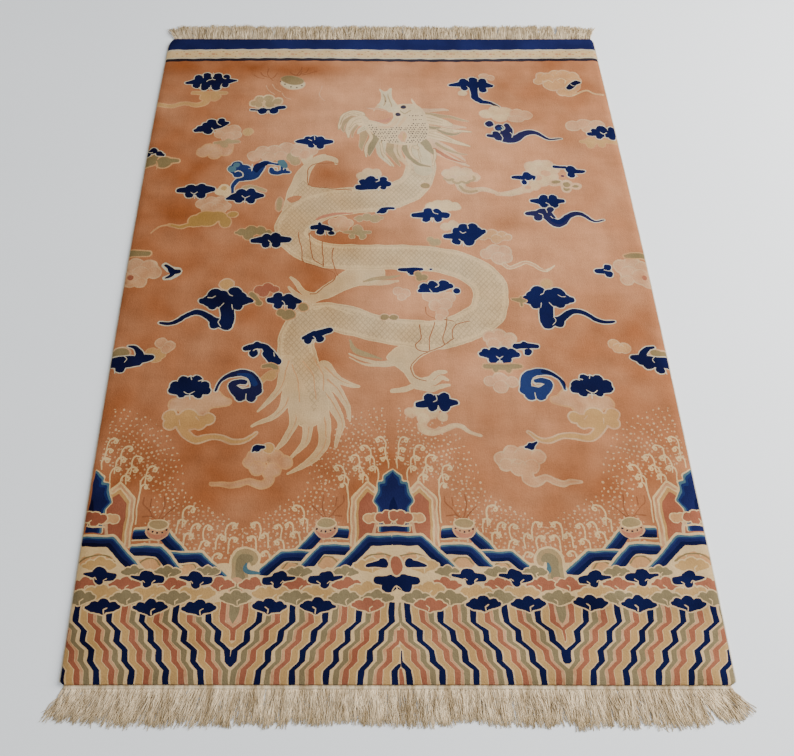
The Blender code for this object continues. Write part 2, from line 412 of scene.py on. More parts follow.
for share in (-0.84, 0.84):
    paint("beige", arm(body_line(share, 0.02, 0.985), width=9))
    paint("cream", arm(body_line(share, 0.02, 0.985), width=2.6))
BEAD_STEP = 8.4
for distance in np.arange(40, spine_along[-1] - 20, BEAD_STEP):
    for share in (-0.74, 0.74):
        paint("cream", oval(*body_place(distance, share), 2.6))

# %% [markdown]
# Legs end in claws, and hair streams back from each joint. The head looks left, with a
# cream beard, a horn, two dark eyes, and a mane of strands a few knots wide.

# %% Legs, hair and tail
CLAWS = (
    [(470, 972, 15), (444, 962, 12), (424, 936, 9), (408, 914, 4)],
    [(462, 980, 13), (438, 978, 11), (418, 962, 7), (402, 944, 3)],
    [(470, 984, 12), (452, 994, 10), (432, 992, 5)],
    [(712, 1222, 12), (698, 1231, 10), (680, 1237, 9), (654, 1242, 6)],
    [(716, 1216, 13), (742, 1208, 10), (760, 1194, 9), (780, 1190, 6)],
    [(716, 1224, 12), (750, 1219, 9), (770, 1206, 8), (784, 1212, 4)],
    [(714, 1230, 12), (744, 1236, 10), (764, 1230, 8), (786, 1226, 4)],
    [(442, 530, 24), (462, 512, 18), (490, 502, 15), (514, 512, 12), (516, 526, 5)],
    [(446, 524, 18), (470, 500, 10), (486, 492, 4)], [(440, 522, 18), (444, 504, 11), (452, 488, 4)],
    [(440, 530, 16), (428, 514, 9), (420, 498, 3)],
)
motif("beige", arms=CLAWS, rim=1.2)
# Thin dark lines: folds of the legs, and hair that trails from their joints
HAIR = (
    [(520, 524), (486, 522), (456, 528), (442, 545), (439, 572), (442, 598), (458, 609), (500, 615),
     (560, 622)],
    [(422, 768), (425, 800), (433, 830), (434, 860), (447, 870), (480, 882), (504, 893), (519, 905),
     (516, 920), (492, 944), (472, 964), (456, 965)],
    [(450, 770), (452, 800), (458, 838), (462, 858), (486, 874)], [(483, 798), (486, 838), (488, 880)],
    [(513, 820), (510, 856), (518, 888), (526, 908)],
    [(725, 1057), (727, 1093), (713, 1114), (722, 1130), (742, 1135)],
    [(761, 1050), (754, 1079), (746, 1100), (746, 1131)],
    [(793, 1029), (791, 1050), (780, 1098), (782, 1112)],
    [(846, 1048), (816, 1054), (804, 1072), (804, 1094)],
    [(742, 1004), (744, 1024), (764, 1038), (808, 1046)],
    [(806, 1096), (772, 1120), (740, 1137), (716, 1151), (701, 1174), (703, 1198), (714, 1210), (734, 1214)],
)
for strand in HAIR:
    paint("umber", arm(strand, width=2.5))
STREAMERS = (
    [(496, 1178, 34), (524, 1208, 20), (552, 1222, 11), (577, 1230, 2)],
    [(500, 1210, 30), (528, 1240, 18), (548, 1276, 11), (557, 1318, 2)],
    [(490, 1236, 34), (520, 1284, 20), (536, 1320, 14), (532, 1350, 9), (524, 1384, 2)],
    [(430, 1262, 34), (430, 1320, 18), (414, 1362, 11), (393, 1390, 2)],
    [(420, 1220, 32), (406, 1276, 18), (382, 1308, 10), (334, 1332, 2)],
    [(408, 1160, 28), (396, 1224, 16), (378, 1258, 10), (346, 1294, 2)],
    [(455, 1280, 36), (462, 1334, 20), (454, 1376, 13), (424, 1412, 2)],
    [(480, 1262, 46), (497, 1322, 28), (499, 1370, 22), (484, 1402, 16), (456, 1428, 10), (420, 1448, 2)],
)
for strand in STREAMERS:
    motif("beige", arms=[strand], rim=1.2)
    paint("sand", arm([(x + 3, y, width * 0.14) for x, y, width in strand[:-1]]))
paint("beige", arm([(450, 1214, 84), (460, 1262, 84), (466, 1300, 66)]))
paint("scaly", arm([(448, 1166, 62), (466, 1210, 42), (474, 1258, 24), (475, 1290, 8)]))
for strand in ([(446, 1160), (470, 1200), (478, 1262)], [(470, 1150), (492, 1196), (496, 1240)],
               [(420, 1170), (436, 1220), (440, 1270)]):
    paint("sand", arm(strand, width=2.8))

# %% The dragon's mane, beard and head
LOCKS = (
    ("haze", [(752, 318, 18), (790, 316, 11), (820, 312, 8), (838, 316, 2)]),
    ("sage", [(748, 330, 20), (796, 336, 14), (842, 344, 10), (892, 362, 3)]),
    ("haze", [(756, 352, 30), (800, 362, 26), (846, 380, 16), (884, 386, 2)]),
    ("cream", [(758, 348, 30), (790, 354, 34), (820, 366, 26), (842, 374, 12)]),
    ("haze", [(770, 470, 34), (810, 486, 20), (846, 512, 12), (884, 534, 2)]),
    ("coral", [(790, 470, 12), (826, 500, 10), (852, 516, 5), (874, 520, 2)]),
    ("haze", [(760, 430, 40), (806, 456, 24), (846, 484, 14), (872, 512, 2)]),
    ("cream", [(762, 404, 34), (800, 420, 28), (842, 438, 16), (890, 460, 2)]),
    ("cream", [(762, 386, 30), (802, 392, 20), (846, 398, 12), (898, 402, 2)]),
    ("moss", [(762, 364, 5), (778, 382, 9), (800, 388, 9), (812, 386, 4)]),
    ("moss", [(802, 394, 5), (824, 407, 10), (850, 412, 8), (870, 404, 2)]),
    ("sage", [(796, 446, 8), (822, 470, 10), (856, 486, 6), (880, 490, 2)]),
    ("bone", [(744, 430, 56), (744, 470, 60), (752, 510, 56), (756, 546, 50)]),
    ("moss", [(744, 420, 20), (766, 446, 24), (778, 472, 18), (791, 496, 3)]),
    ("cream", [(790, 470, 4), (790, 500, 6), (784, 530, 5)]),
    ("moss", [(706, 440, 18), (708, 474, 15), (726, 508, 13), (748, 528, 11), (776, 537, 3)]),
    ("cream", [(729, 448, 6), (721, 474, 6), (730, 500, 5), (744, 512, 3)]),
    ("cream", [(738, 462, 13), (743, 464, 11)]),
    ("pearl", [(690, 436, 26), (686, 470, 22), (694, 500, 16), (712, 532, 4)]),
    ("sage", [(670, 430, 24), (664, 466, 24), (676, 500, 15), (694, 536, 2)]),
    ("bone", [(646, 430, 28), (640, 466, 26), (648, 500, 18), (668, 532, 2)]),
    ("cream", [(641, 446, 5), (645, 478, 6), (655, 502, 6), (676, 534, 3)]),
    ("moss", [(632, 410, 24), (618, 444, 26), (610, 470, 20), (608, 494, 3)]),
    ("sage", [(596, 392, 22), (592, 426, 20), (587, 456, 12), (588, 476, 2)]),
    ("cream", [(604, 392, 9), (614, 424, 9), (602, 456, 9), (598, 484, 6), (601, 500, 2)]),
    ("cream", [(588, 334, 20), (560, 326, 20), (536, 344, 16), (526, 374, 9), (524, 392, 2)]),
    ("sage", [(560, 344, 14), (540, 362, 12), (534, 386, 8), (538, 404, 2)]),
    ("cream", [(588, 356, 40), (566, 366, 34), (552, 392, 20), (550, 424, 4)]),
    ("sage", [(574, 378, 9), (564, 400, 8), (560, 424, 2)]),
    ("bone", [(598, 384, 22), (584, 396, 14), (578, 408, 5)]),
)
for dye, lock in LOCKS:
    paint("sage" if dye == "cream" else "haze", arm(lock, 1.4))
    paint(dye, arm(lock))
    if dye in ("cream", "bone", "pearl") and lock[0][2] > 15:
        for share in (-0.2, 0.18):
            paint("sage", arm([(x, y + share * width, 1.8) for x, y, width in lock[:-1]]))
head = patch([(676, 300), (700, 293), (742, 292), (764, 318), (774, 356), (776, 404), (762, 432), (740, 448),
              (700, 452), (664, 444), (636, 424), (612, 396), (596, 372), (590, 346), (600, 352), (634, 366),
              (660, 372), (676, 356), (680, 330)])
rimmed("beige", "cream", 2, head)
horn = patch([(641, 226), (652, 238), (664, 236), (674, 224), (675, 248), (678, 270), (690, 294), (700, 308),
              (676, 322), (640, 312), (632, 298), (642, 284), (648, 262), (647, 246)])
rimmed("bone", "cream", 2, horn)
for shade in ([(636, 298, 9), (626, 308, 5), (624, 318, 2)],
              [(690, 350, 10), (684, 364, 14), (668, 378, 16), (640, 382, 12)],
              [(712, 344, 9), (704, 362, 10), (694, 380, 6)]):
    paint("pearl", arm(shade))
for dye, strand in (("sage", [(652, 246, 2), (658, 268, 5), (652, 298, 3)]),
                    ("sage", [(666, 246, 2), (668, 268, 4), (676, 300, 3)]),
                    ("cream", [(734, 268, 3), (740, 284, 8), (746, 302, 12)]),
                    ("sage", [(700, 316, 3), (712, 330, 4), (730, 316, 3)])):
    paint(dye, arm(strand))
paint("rose", arm([(622, 357, 3), (644, 360, 9), (660, 356, 13), (670, 345, 4)]))
paint("blush", arm([(602, 306, 3), (622, 308, 7), (646, 312, 8), (662, 320, 6)]))
paint("cream", arm([(600, 364), (632, 372), (660, 377), (676, 362)], width=4.5))
paint("blush", arm([(704, 406, 16), (703, 421, 25), (704, 436, 15)]))
paint("gold", arm([(706, 410, 6), (708, 422, 8), (706, 434, 5)]))

# Rows of dots on the cheek and snout, but not on the round spot inside them
CHEEK = patch([(603, 376), (628, 380), (652, 394), (680, 380), (716, 378), (734, 358), (722, 326),
               (748, 322), (766, 350), (774, 400), (766, 428), (744, 448), (690, 450), (652, 440),
               (622, 414)])
CHEEK_DOT_STEP = 8.2
CHEEK_SPOT = (704, 421, 17, 25)


def inside_of(outline, x, y):
    """Whether a place lies inside an outline, by the sides that cross the level of it."""
    ends = np.roll(outline, -1, axis=0)
    crossing = (outline[:, 1] > y) != (ends[:, 1] > y)
    start, end = outline[crossing], ends[crossing]
    across = start[:, 0] + (y - start[:, 1]) / (end[:, 1] - start[:, 1]) * (end[:, 0] - start[:, 0])
    return np.count_nonzero(across > x) % 2 == 1


spot_x, spot_y, spot_reach_x, spot_reach_y = CHEEK_SPOT
for row, y in enumerate(np.arange(328, 452, CHEEK_DOT_STEP)):
    for x in np.arange(600 + row % 2 * CHEEK_DOT_STEP / 2, 780, CHEEK_DOT_STEP):
        is_spot = math.hypot((x - spot_x) / spot_reach_x, (y - spot_y) / spot_reach_y) < 1
        if inside_of(CHEEK, x, y) and not is_spot and (y > 372 or row % 2):
            off_x, off_y = 1.2 * math.sin(y * 1.7 + x * 0.3), 0.8 * math.sin(x * 2.3)
            paint("soot", oval(x + off_x, y + off_y, 2.2))
for x, y in ((708.5, 303), (692, 332)):
    paint("cream", oval(x, y, 11.5, 10.5))
    paint("soot", oval(x, y, 8.6, 7.8))
paint("soot", oval(657, 277, 2.6))

# %% [markdown]
# Clouds drift over the field and the dragon. In this style a cloud is a few round lobes on a
# bar, with a light rim one knot wide, and sometimes a tail that trails off in the wind.
# Dark clouds are read lobe by lobe, and pale ones lie half hidden under them.

# %% Clouds of the upper left
motif("tan", [(133, 260, 15), (160, 260, 15)],
      [[(96, 243, 10), (145, 245, 12), (190, 242, 9)],
       [(140, 272, 16), (132, 287, 15), (110, 294, 12), (75, 287, 10), (42, 298, 11), (8, 294, 10),
        (-12, 284, 9)]], [[(146, 250), (147, 272)]], rim=4)
motif("navy",
      [(105, 178, 12), (130, 170, 12), (163, 170, 12), (188, 176, 10), (103, 212, 11), (127, 219, 12),
       (162, 219, 13), (187, 209, 10)],
      [[(73, 200, 8), (96, 197, 22), (146, 196, 44), (192, 192, 22), (216, 190, 7)]],
      [[(118, 163), (120, 180)], [(147, 156), (147, 182), (156, 187)], [(176, 164), (179, 180), (186, 183)],
       [(115, 205), (116, 226)], [(130, 194), (137, 187), (145, 184)], [(144, 212), (144, 232)],
       [(175, 204), (174, 222)]])
motif("bone", [(386, 204, 36, 22, 12)], edge="blush", rim=3)
motif("olive", [(384, 189, 34, 17, 14)], edge="sage", rim=2)
for x, y in ((348, 195), (362, 207), (381, 217), (399, 220), (413, 213)):
    paint("soot", oval(x, y, 2.8))
for twig in ([(312, 138), (309, 160), (316, 178), (326, 190)], [(289, 154), (297, 170), (314, 178)],
             [(338, 157), (331, 174), (318, 184)], [(374, 152), (386, 165), (404, 167), (412, 148)],
             [(410, 132), (406, 150), (398, 166)], [(431, 136), (426, 152), (408, 162)],
             [(268, 165), (280, 176), (300, 182)], [(455, 150), (436, 158), (412, 166)]):
    paint("umber", arm(twig, width=3.4))
for swirl in ([(308, 212), (318, 234), (334, 250)], [(326, 206), (336, 226), (352, 240)],
              [(356, 244), (364, 262), (382, 270)], [(472, 214), (466, 250), (480, 276)]):
    paint("blush", arm(swirl, width=3.0))
motif("sage",
      [(276, 286, 11), (292, 272, 13), (318, 268, 14), (344, 279, 13), (322, 290, 14), (290, 292, 10)],
      edge="pearl", rim=5)
motif("navy", [(303, 318, 12), (335, 318, 12)],
      [[(270, 314, 4), (290, 314, 5), (322, 314, 6)], [(335, 318, 14), (344, 306, 11), (363, 302, 12)]],
      [[(319, 318), (319, 330)]])
scalloped("blush", [(198, 398, 20), (226, 394, 18), (186, 412, 13), (234, 414, 14), (212, 424, 18)])
motif("gold", [(266, 402, 13)])
motif("navy", [(132, 390, 12), (146, 377, 13), (160, 366, 14), (188, 358, 9), (154, 399, 13)],
      [[(118, 397, 10), (150, 385, 30), (184, 373, 26), (205, 367, 10)]],
      [[(174, 358), (177, 372), (188, 377)], [(162, 388), (170, 398), (172, 408)]])
scalloped("blush",
          [(146, 482, 16), (160, 470, 18), (184, 472, 22), (206, 474, 20), (180, 490, 16), (212, 462, 15)],
          edge="sand", rim=4)
motif("sage", [(204, 454, 11), (213, 438, 9)], [[(178, 447, 11), (206, 443, 14), (241, 441, 12)]])
motif("olive", [(6, 516, 17), (42, 520, 21), (-6, 526, 12), (16, 500, 9)], [[(44, 515, 24), (78, 515, 11)]],
      [[(20, 516), (26, 530), (26, 546)]], rim=4.5)
motif("navy", [(8, 478, 11), (26, 487, 9), (-8, 487, 12)], [[(24, 488, 14), (38, 492, 7)]],
      [[(-8, 478), (-2, 484), (8, 485)]])

# %% Clouds of the left edge and lower left
scalloped("blush", [(290, 496, 18), (312, 480, 20), (345, 478, 22), (380, 470, 24), (362, 496, 18),
                    (412, 476, 26), (330, 500, 18)])
motif("sage", [(396, 500, 18), (404, 516, 14)])
motif("blue", [(234, 544, 13), (244, 531, 14), (248, 566, 11)],
      [[(244, 545, 40), (262, 556, 54), (284, 564, 44), (302, 548, 30), (314, 528, 20), (326, 522, 12),
        (342, 524, 5), (358, 527, 7)],
       [(372, 538, 14), (371, 552, 14), (358, 560, 12), (343, 556, 13), (339, 544, 10)],
       [(368, 556, 12), (390, 556, 5)],
       [(270, 578, 18), (252, 584, 12), (244, 596, 10), (238, 612, 7), (239, 634, 5)]],
      [[(286, 526), (287, 552)], [(240, 557), (250, 552), (262, 560), (262, 572), (252, 577), (242, 576)],
       [(346, 536), (355, 540), (356, 552)], [(386, 546), (374, 541), (372, 548)]], slit=3.4)
paint("teal", patch([(357, 512), (372, 510), (381, 522), (383, 540), (371, 541), (364, 533), (358, 527)]))
paint("teal", oval(232, 546, 12), oval(243, 530, 10))
paint("navy", patch([(296, 524), (330, 519), (328, 530), (312, 542), (300, 560), (290, 545)]))
motif("cream", [(216, 616, 12), (222, 632, 10), (205, 628, 10)])
paint("gold", oval(216, 616, 8))
scalloped("blush",
          [(160, 670, 15), (184, 666, 18), (210, 664, 18), (182, 686, 20), (206, 688, 20), (226, 678, 12)])
motif("navy", [(125, 615, 13), (153, 612, 12), (123, 639, 11), (156, 639, 12)],
      [[(94, 624, 13), (120, 622, 22), (152, 622, 34), (184, 619, 16)]],
      [[(128, 629), (136, 635), (145, 628)], [(138, 637), (139, 652)]])
motif("sage", arms=[[(268, 612, 8), (292, 612, 13), (326, 623, 9)]])
motif("navy", [(262, 632, 14), (288, 630, 13), (258, 657, 11), (291, 658, 11)],
      [[(228, 652, 8), (250, 646, 26), (284, 642, 34), (318, 642, 12)]],
      [[(266, 642), (275, 649), (286, 642)], [(275, 650), (275, 668)]])
motif("mustard",
      [(150, 730, 18), (178, 722, 30, 24), (206, 714, 24, 14), (228, 734, 13, 18), (246, 708, 13, 8)],
      [[(160, 742, 12), (135, 742, 7), (110, 751, 6), (82, 743, 4)]], rim=3.6)
paint("sand", arm([(84, 743, 6), (62, 746, 5), (48, 758, 5), (38, 772, 3)]))
motif("sage", [(367, 672, 8, 24)], rim=4)
motif("olive", [(274, 768, 12), (298, 764, 17), (322, 762, 14), (342, 770, 9), (292, 780, 14)],
      [[(260, 769, 8), (282, 770, 14)]])
motif("navy", [(338, 785, 11), (362, 784, 13), (338, 808, 10), (366, 808, 11)],
      [[(304, 797, 12), (332, 793, 22), (372, 792, 22), (397, 792, 15)]],
      [[(345, 795), (351, 803), (350, 820)]])
motif("coral", [(350, 946, 13), (330, 952, 12), (368, 952, 10), (342, 962, 12)], edge="blush")
motif("navy", [(378, 972, 11), (404, 978, 12), (378, 1001, 10), (413, 1002, 11)],
      [[(357, 985, 13), (378, 985, 24), (408, 985, 24), (433, 990, 9)]],
      [[(388, 986), (394, 992), (395, 1010)]])
motif("olive", [(388, 1022, 11), (408, 1026, 14), (400, 1034, 10), (442, 1006, 12)])
motif("navy", [(333, 1116, 10), (328, 1138, 10)],
      [[(308, 1125, 12), (328, 1119, 16), (350, 1120, 13), (362, 1134, 20), (376, 1146, 16),
        (384, 1160, 18)], [(354, 1140, 10), (372, 1162, 16)]],
      [[(326, 1130), (334, 1126), (342, 1132), (340, 1142)], [(376, 1136), (378, 1146)]])
motif("olive", arms=[[(352, 1175, 9), (372, 1173, 12), (382, 1182, 13), (380, 1200, 9)]])
scalloped("blush", [(10, 880, 22), (44, 884, 22), (60, 898, 17), (28, 902, 22), (8, 922, 20), (30, 930, 14)],
          rim=4.5)
motif("olive", arms=[[(-12, 838, 20), (14, 838, 18), (40, 838, 13)]], rim=4)
paint("coral", oval(4, 915, 8))
paint("ivory", arm([(86, 876, 12), (104, 890, 16), (122, 897, 17), (106, 912, 14), (90, 917, 9)], grow=2.6))
paint("navy", arm([(88, 876, 8), (99, 884, 11), (108, 896, 17), (122, 897, 14)]))
paint("navy", arm([(110, 900, 13), (104, 911, 9), (91, 916, 5)]))
motif("tan", [(85, 1140, 15), (106, 1140, 13), (96, 1151, 13)])
scalloped("blush", [(104, 1110, 13), (124, 1118, 13), (118, 1126, 11)])
motif("olive", [(12, 1138, 20, 14)], [[(-12, 1140, 16), (10, 1141, 18)]], edge="haze", rim=4)
motif("navy", [(16, 1180, 11)],
      [[(28, 1120, 3), (43, 1123, 9), (55, 1137, 16), (60, 1152, 24), (84, 1151, 14)],
       [(-12, 1164, 26), (28, 1163, 30), (54, 1160, 26)]],
      [[(20, 1147), (28, 1156), (24, 1164)], [(2, 1180), (6, 1194)]])


def fan_cloud(at=here):
    """The large cloud that opens like a fan over a thick stem, with a long tail."""
    motif("navy", [(222, 970, 19), (269, 963, 18), (240, 972, 16), (284, 976, 15), (206, 986, 15),
                   (218, 999, 12), (280, 1001, 12), (228, 1054, 13), (256, 1058, 15)],
          [[(190, 987, 15), (220, 986, 32), (252, 986, 44), (284, 986, 32), (310, 985, 14)],
           [(252, 985, 38), (255, 1018, 32), (258, 1048, 32)],
           [(244, 1052, 26), (226, 1046, 20), (208, 1032, 16), (190, 1022, 13), (172, 1022, 12),
            (154, 1032, 10), (138, 1046, 9), (118, 1054, 8), (94, 1051, 4)]],
          [[(232, 1010), (240, 1002), (246, 994)], [(252, 958), (256, 967), (264, 971)],
           [(266, 996), (268, 1012)], [(204, 976), (214, 978), (222, 972)],
           [(240, 1038), (236, 1050), (244, 1062)]], at=at)


motif("tan", [(248, 936, 17, 15)], edge="haze", rim=4)
fan_cloud()
motif("olive", [(330, 992, 9, 8)], [[(312, 966, 14), (322, 976, 13), (330, 988, 7)]])


def swirl_cloud(at=here, dye="navy", tip="blue"):
    """A cloud rolled into itself, beside the small fan it has drifted against."""
    motif(dye, [(340, 1240, 12), (304, 1256, 12), (328, 1257, 12)],
          [[(246, 1240, 4), (255, 1216, 6), (274, 1199, 10), (300, 1193, 15), (324, 1200, 20),
            (337, 1222, 24), (334, 1243, 26), (308, 1250, 28), (290, 1238, 22), (284, 1224, 16),
            (298, 1216, 12), (311, 1218, 10)]],
          [[(318, 1249), (316, 1266)], [(300, 1228), (312, 1230), (320, 1222)]], edge="ivory", at=at)
    paint(tip, arm([(294, 1196, 6), (322, 1203, 13), (334, 1222, 16)]), at=at)


def small_fan(at=here):
    """The small dark fan with its pale cap below and the tan cloud with a tail."""
    cap = patch([(228, 1240), (250, 1243), (264, 1258), (281, 1265), (279, 1276), (254, 1281), (236, 1287),
                 (228, 1301), (200, 1307), (176, 1302), (166, 1292), (148, 1290), (142, 1278), (148, 1266),
                 (162, 1260)])
    rimmed("blush", "sand", 4, cap, at=at)
    motif("tan", [(147, 1306, 14), (150, 1326, 14), (190, 1312, 22), (235, 1314, 13), (216, 1326, 14)],
          [[(150, 1316, 22), (190, 1322, 34), (226, 1318, 22)],
           [(178, 1334, 24), (188, 1351, 17), (212, 1366, 13), (242, 1360, 10), (268, 1360, 9),
            (294, 1371, 8), (320, 1369, 6), (345, 1350, 3)]],
          [[(170, 1316), (172, 1330)], [(206, 1308), (214, 1318)]], edge="haze", rim=4, at=at)
    motif("navy", [(168, 1213, 11), (200, 1211, 10), (151, 1229, 13), (218, 1229, 13), (185, 1216, 12),
                   (206, 1250, 10), (168, 1249, 9)], [[(146, 1239, 20), (186, 1233, 40), (224, 1239, 20)]],
          [[(172, 1243), (184, 1250), (198, 1243)], [(187, 1249), (189, 1264)], [(185, 1200), (187, 1212)],
           [(203, 1215), (211, 1212)]], at=at)


# The line between the rug's left and right halves, over which large clouds repeat
MIRROR_AXIS = 651.0
small_fan()
motif("tan", [(372, 1200, 12)], [[(386, 1188, 6), (368, 1196, 12), (350, 1214, 10), (336, 1232, 6)]])
swirl_cloud(dye="royal")
scalloped("blush", [(344, 1408, 14), (366, 1402, 18), (392, 1412, 17), (414, 1420, 14), (388, 1438, 15),
                    (354, 1434, 16), (336, 1422, 12)],
          [[(376, 1446, 17), (380, 1466, 16), (362, 1475, 13), (336, 1466, 9), (314, 1473, 8),
            (294, 1476, 7), (274, 1472, 5), (255, 1472, 2)]], [[(346, 1422), (362, 1428), (372, 1420)]],
          edge="sand", rim=4)
motif("tan", [(376, 1387, 12)], edge="haze")
motif("navy", [(350, 1386, 8)], [[(340, 1394, 4), (348, 1384, 10), (366, 1384, 5)]], rim=2)

# %% Clouds of the upper right
scalloped("blush", [(952, 172, 14, 11), (972, 178, 10)])
scalloped("pearl", [(884, 244, 12, 10)])
paint("ivory",
      arm([(918, 236, 20), (920, 262, 20), (936, 279, 16), (962, 286, 11), (979, 298, 9), (990, 312, 8),
           (995, 328, 5)], grow=2.6))
motif("navy", [(918, 190, 14), (890, 195, 12), (944, 195, 13), (890, 221, 10), (944, 229, 12)],
      [[(850, 209, 8), (880, 207, 20), (918, 203, 34), (950, 209, 24), (970, 212, 11)],
       [(917, 203, 34), (918, 240, 19), (920, 262, 19), (936, 279, 15)]],
      [[(904, 178), (905, 192)], [(931, 180), (932, 194)], [(931, 224), (932, 242)],
       [(898, 213), (904, 222)]])
paint("navy", arm([(918, 240, 19), (920, 262, 19), (936, 279, 15), (960, 285, 10), (977, 297, 8)]))
paint("soot", arm([(968, 290, 8), (979, 298, 8), (990, 312, 7), (995, 328, 4)]))
scalloped("sand",
          [(1112, 192, 12), (1124, 172, 16), (1142, 178, 20), (1166, 168, 20), (1190, 168, 22),
           (1214, 172, 18), (1222, 188, 14), (1150, 206, 24), (1182, 206, 30), (1208, 210, 24),
           (1196, 236, 20), (1176, 238, 14)], rim=4)
paint("cream", arm([(1168, 186), (1180, 180), (1192, 188), (1188, 202)], width=3.2),
      arm([(1130, 196), (1142, 190), (1152, 198)], width=3.2))
paint("cream", arm([(1206, 252, 7), (1230, 238, 6), (1250, 233, 6), (1268, 246, 6), (1296, 249, 6)]))
paint("sand", arm([(1204, 250, 4), (1230, 238, 3), (1250, 233, 3), (1268, 246, 3), (1296, 249, 3)]))
motif("navy", [(1222, 198, 8)], [[(1199, 222, 15), (1206, 214, 17), (1216, 202, 14), (1230, 197, 9)]],
      [[(1204, 206), (1210, 212), (1216, 211)]])
scalloped("pearl", [(948, 330, 20, 16), (972, 318, 18), (1000, 322, 22, 18), (984, 344, 22, 16)])
scalloped("blush", [(1034, 330, 20, 18), (1060, 334, 16), (1030, 350, 22, 12)])
scalloped("blush", [(1190, 378, 20, 18), (1222, 372, 22, 17), (1256, 376, 22, 18), (1236, 392, 20, 12)],
          rim=4)
motif("royal", [(951, 371, 11), (978, 385, 12), (968, 409, 10), (972, 423, 11)],
      [[(944, 417, 9), (970, 418, 15)], [(999, 376, 14), (1000, 398, 32), (990, 424, 28)],
       [(986, 426, 26), (1006, 433, 25), (1024, 426, 24), (1042, 411, 20), (1064, 404, 16), (1082, 407, 11),
        (1095, 416, 8), (1107, 426, 6), (1120, 432, 4), (1149, 429, 2)]],
      [[(980, 412), (985, 424), (980, 438)], [(962, 378), (966, 390)], [(989, 374), (994, 388), (986, 398)],
       [(1008, 404), (1014, 414), (1010, 424)]])
paint("blue", oval(978, 388, 7, 6))
paint("mist", arm([(984, 380), (990, 388), (984, 396)], width=3))
motif("tan", [(1230, 440, 16), (1228, 455, 10), (1260, 452, 9)], [[(1205, 441, 10), (1312, 441, 13)]])
motif("navy", [(1268, 393, 14), (1297, 394, 12), (1258, 420, 10), (1294, 422, 10), (1246, 398, 8)],
      [[(1231, 410, 12), (1250, 410, 16), (1284, 410, 26), (1306, 408, 18)]],
      [[(1262, 404), (1270, 411), (1280, 404)], [(1273, 411), (1275, 426)]])

# %% Clouds of the right
motif("olive", [(1112, 594, 15, 8), (1142, 602, 12), (1166, 607, 10, 7), (1140, 617, 9)], edge="haze", rim=6)
scalloped("pearl", [(1052, 536, 16), (1074, 530, 17), (1094, 532, 18), (1112, 544, 16), (1090, 556, 24),
                    (1062, 552, 20), (1100, 572, 20), (1076, 586, 20), (1054, 604, 15), (1034, 614, 13)],
          [[(1068, 580, 26), (1046, 606, 22), (1016, 624, 16), (980, 634, 11), (950, 636, 5)]], rim=4)
paint("blush", oval(1090, 560, 14, 10), oval(1066, 578, 12, 10), oval(1036, 612, 9, 7))
motif("olive", [(1114, 592, 13, 6), (1142, 602, 10), (1164, 607, 9, 5)], edge="haze", rim=4)
motif("navy", [(1039, 572, 13), (1028, 592, 8), (1038, 563, 8)],
      [[(1001, 576, 10), (1028, 576, 14)], [(1044, 572, 12), (1056, 574, 9), (1054, 584, 4)]],
      [[(1030, 582), (1036, 590), (1034, 602)]])
motif("navy", [(1160, 547, 13), (1160, 566, 10)],
      [[(1116, 535, 7), (1144, 539, 9)], [(1164, 552, 14), (1193, 554, 10)]], [[(1170, 562), (1176, 572)]])
paint("navy", oval(1134, 571, 5, 3))
motif("navy", [(1074, 652, 13), (1098, 651, 12), (1071, 673, 10), (1099, 673, 11)],
      [[(1042, 660, 11), (1084, 662, 26), (1124, 660, 11)]],
      [[(1086, 640), (1087, 652)], [(1078, 666), (1085, 672), (1085, 686)]])
motif("royal", [(1052, 717, 11), (1086, 690, 9)],
      [[(1024, 705, 12), (1048, 704, 17), (1068, 700, 28), (1080, 714, 28), (1090, 734, 24), (1101, 738, 22),
        (1116, 731, 20), (1131, 714, 16), (1148, 705, 14), (1165, 707, 11), (1178, 715, 8), (1190, 726, 6),
        (1202, 732, 4), (1224, 727, 2)]],
      [[(1054, 703), (1064, 707), (1066, 716)], [(1086, 714), (1092, 722), (1104, 722)],
       [(1074, 688), (1078, 700)]])
paint("navy", arm([(1090, 728, 14), (1104, 733, 16), (1118, 725, 13), (1134, 712, 9)]))
scalloped("sand", [(900, 778, 14), (924, 774, 15), (950, 780, 14), (964, 784, 10), (936, 790, 14)])
scalloped("blush", [(906, 840, 14), (926, 828, 17), (950, 832, 17), (936, 852, 18), (956, 852, 13)], rim=4)
paint("cream",
      arm([(946, 872, 13), (960, 884, 12), (980, 877, 11), (1002, 866, 11), (1020, 873, 11), (1036, 888, 10),
           (1054, 892, 8), (1076, 876, 4)]))
paint("blush",
      arm([(946, 872, 8), (960, 884, 7), (980, 877, 6), (1002, 866, 6), (1020, 873, 6), (1036, 888, 5),
           (1052, 891, 3)]))
scalloped("blush", [(1244, 880, 18), (1272, 872, 20), (1296, 884, 18), (1262, 900, 22), (1288, 912, 22),
                    (1304, 930, 14), (1252, 922, 14)], rim=4.5)
motif("olive", arms=[[(1262, 846, 12), (1282, 845, 15), (1312, 846, 17)]], rim=4)
paint("coral", oval(1296, 915, 7))
motif("navy", [(1208, 882, 9), (1210, 905, 9), (1204, 893, 10)], [[(1180, 894, 12), (1204, 894, 16)]],
      [[(1198, 890), (1208, 894), (1218, 893)]])
motif("tan", [(1047, 934, 14)], rim=4)
fan_cloud(at=mirrored(MIRROR_AXIS - 4.5, -4))
motif("olive", arms=[[(958, 981, 7), (978, 984, 14), (990, 986, 5)], [(980, 974, 6), (978, 1000, 5)]])
scalloped("blush", [(892, 1092, 14), (916, 1088, 16), (940, 1096, 14), (934, 1112, 14), (900, 1110, 14)],
          rim=4)
motif("navy", [(973, 1112, 7), (980, 1134, 9), (952, 1119, 7)],
      [[(952, 1119, 12), (976, 1116, 14), (1002, 1120, 10)]], [[(960, 1126), (970, 1130), (970, 1142)]])
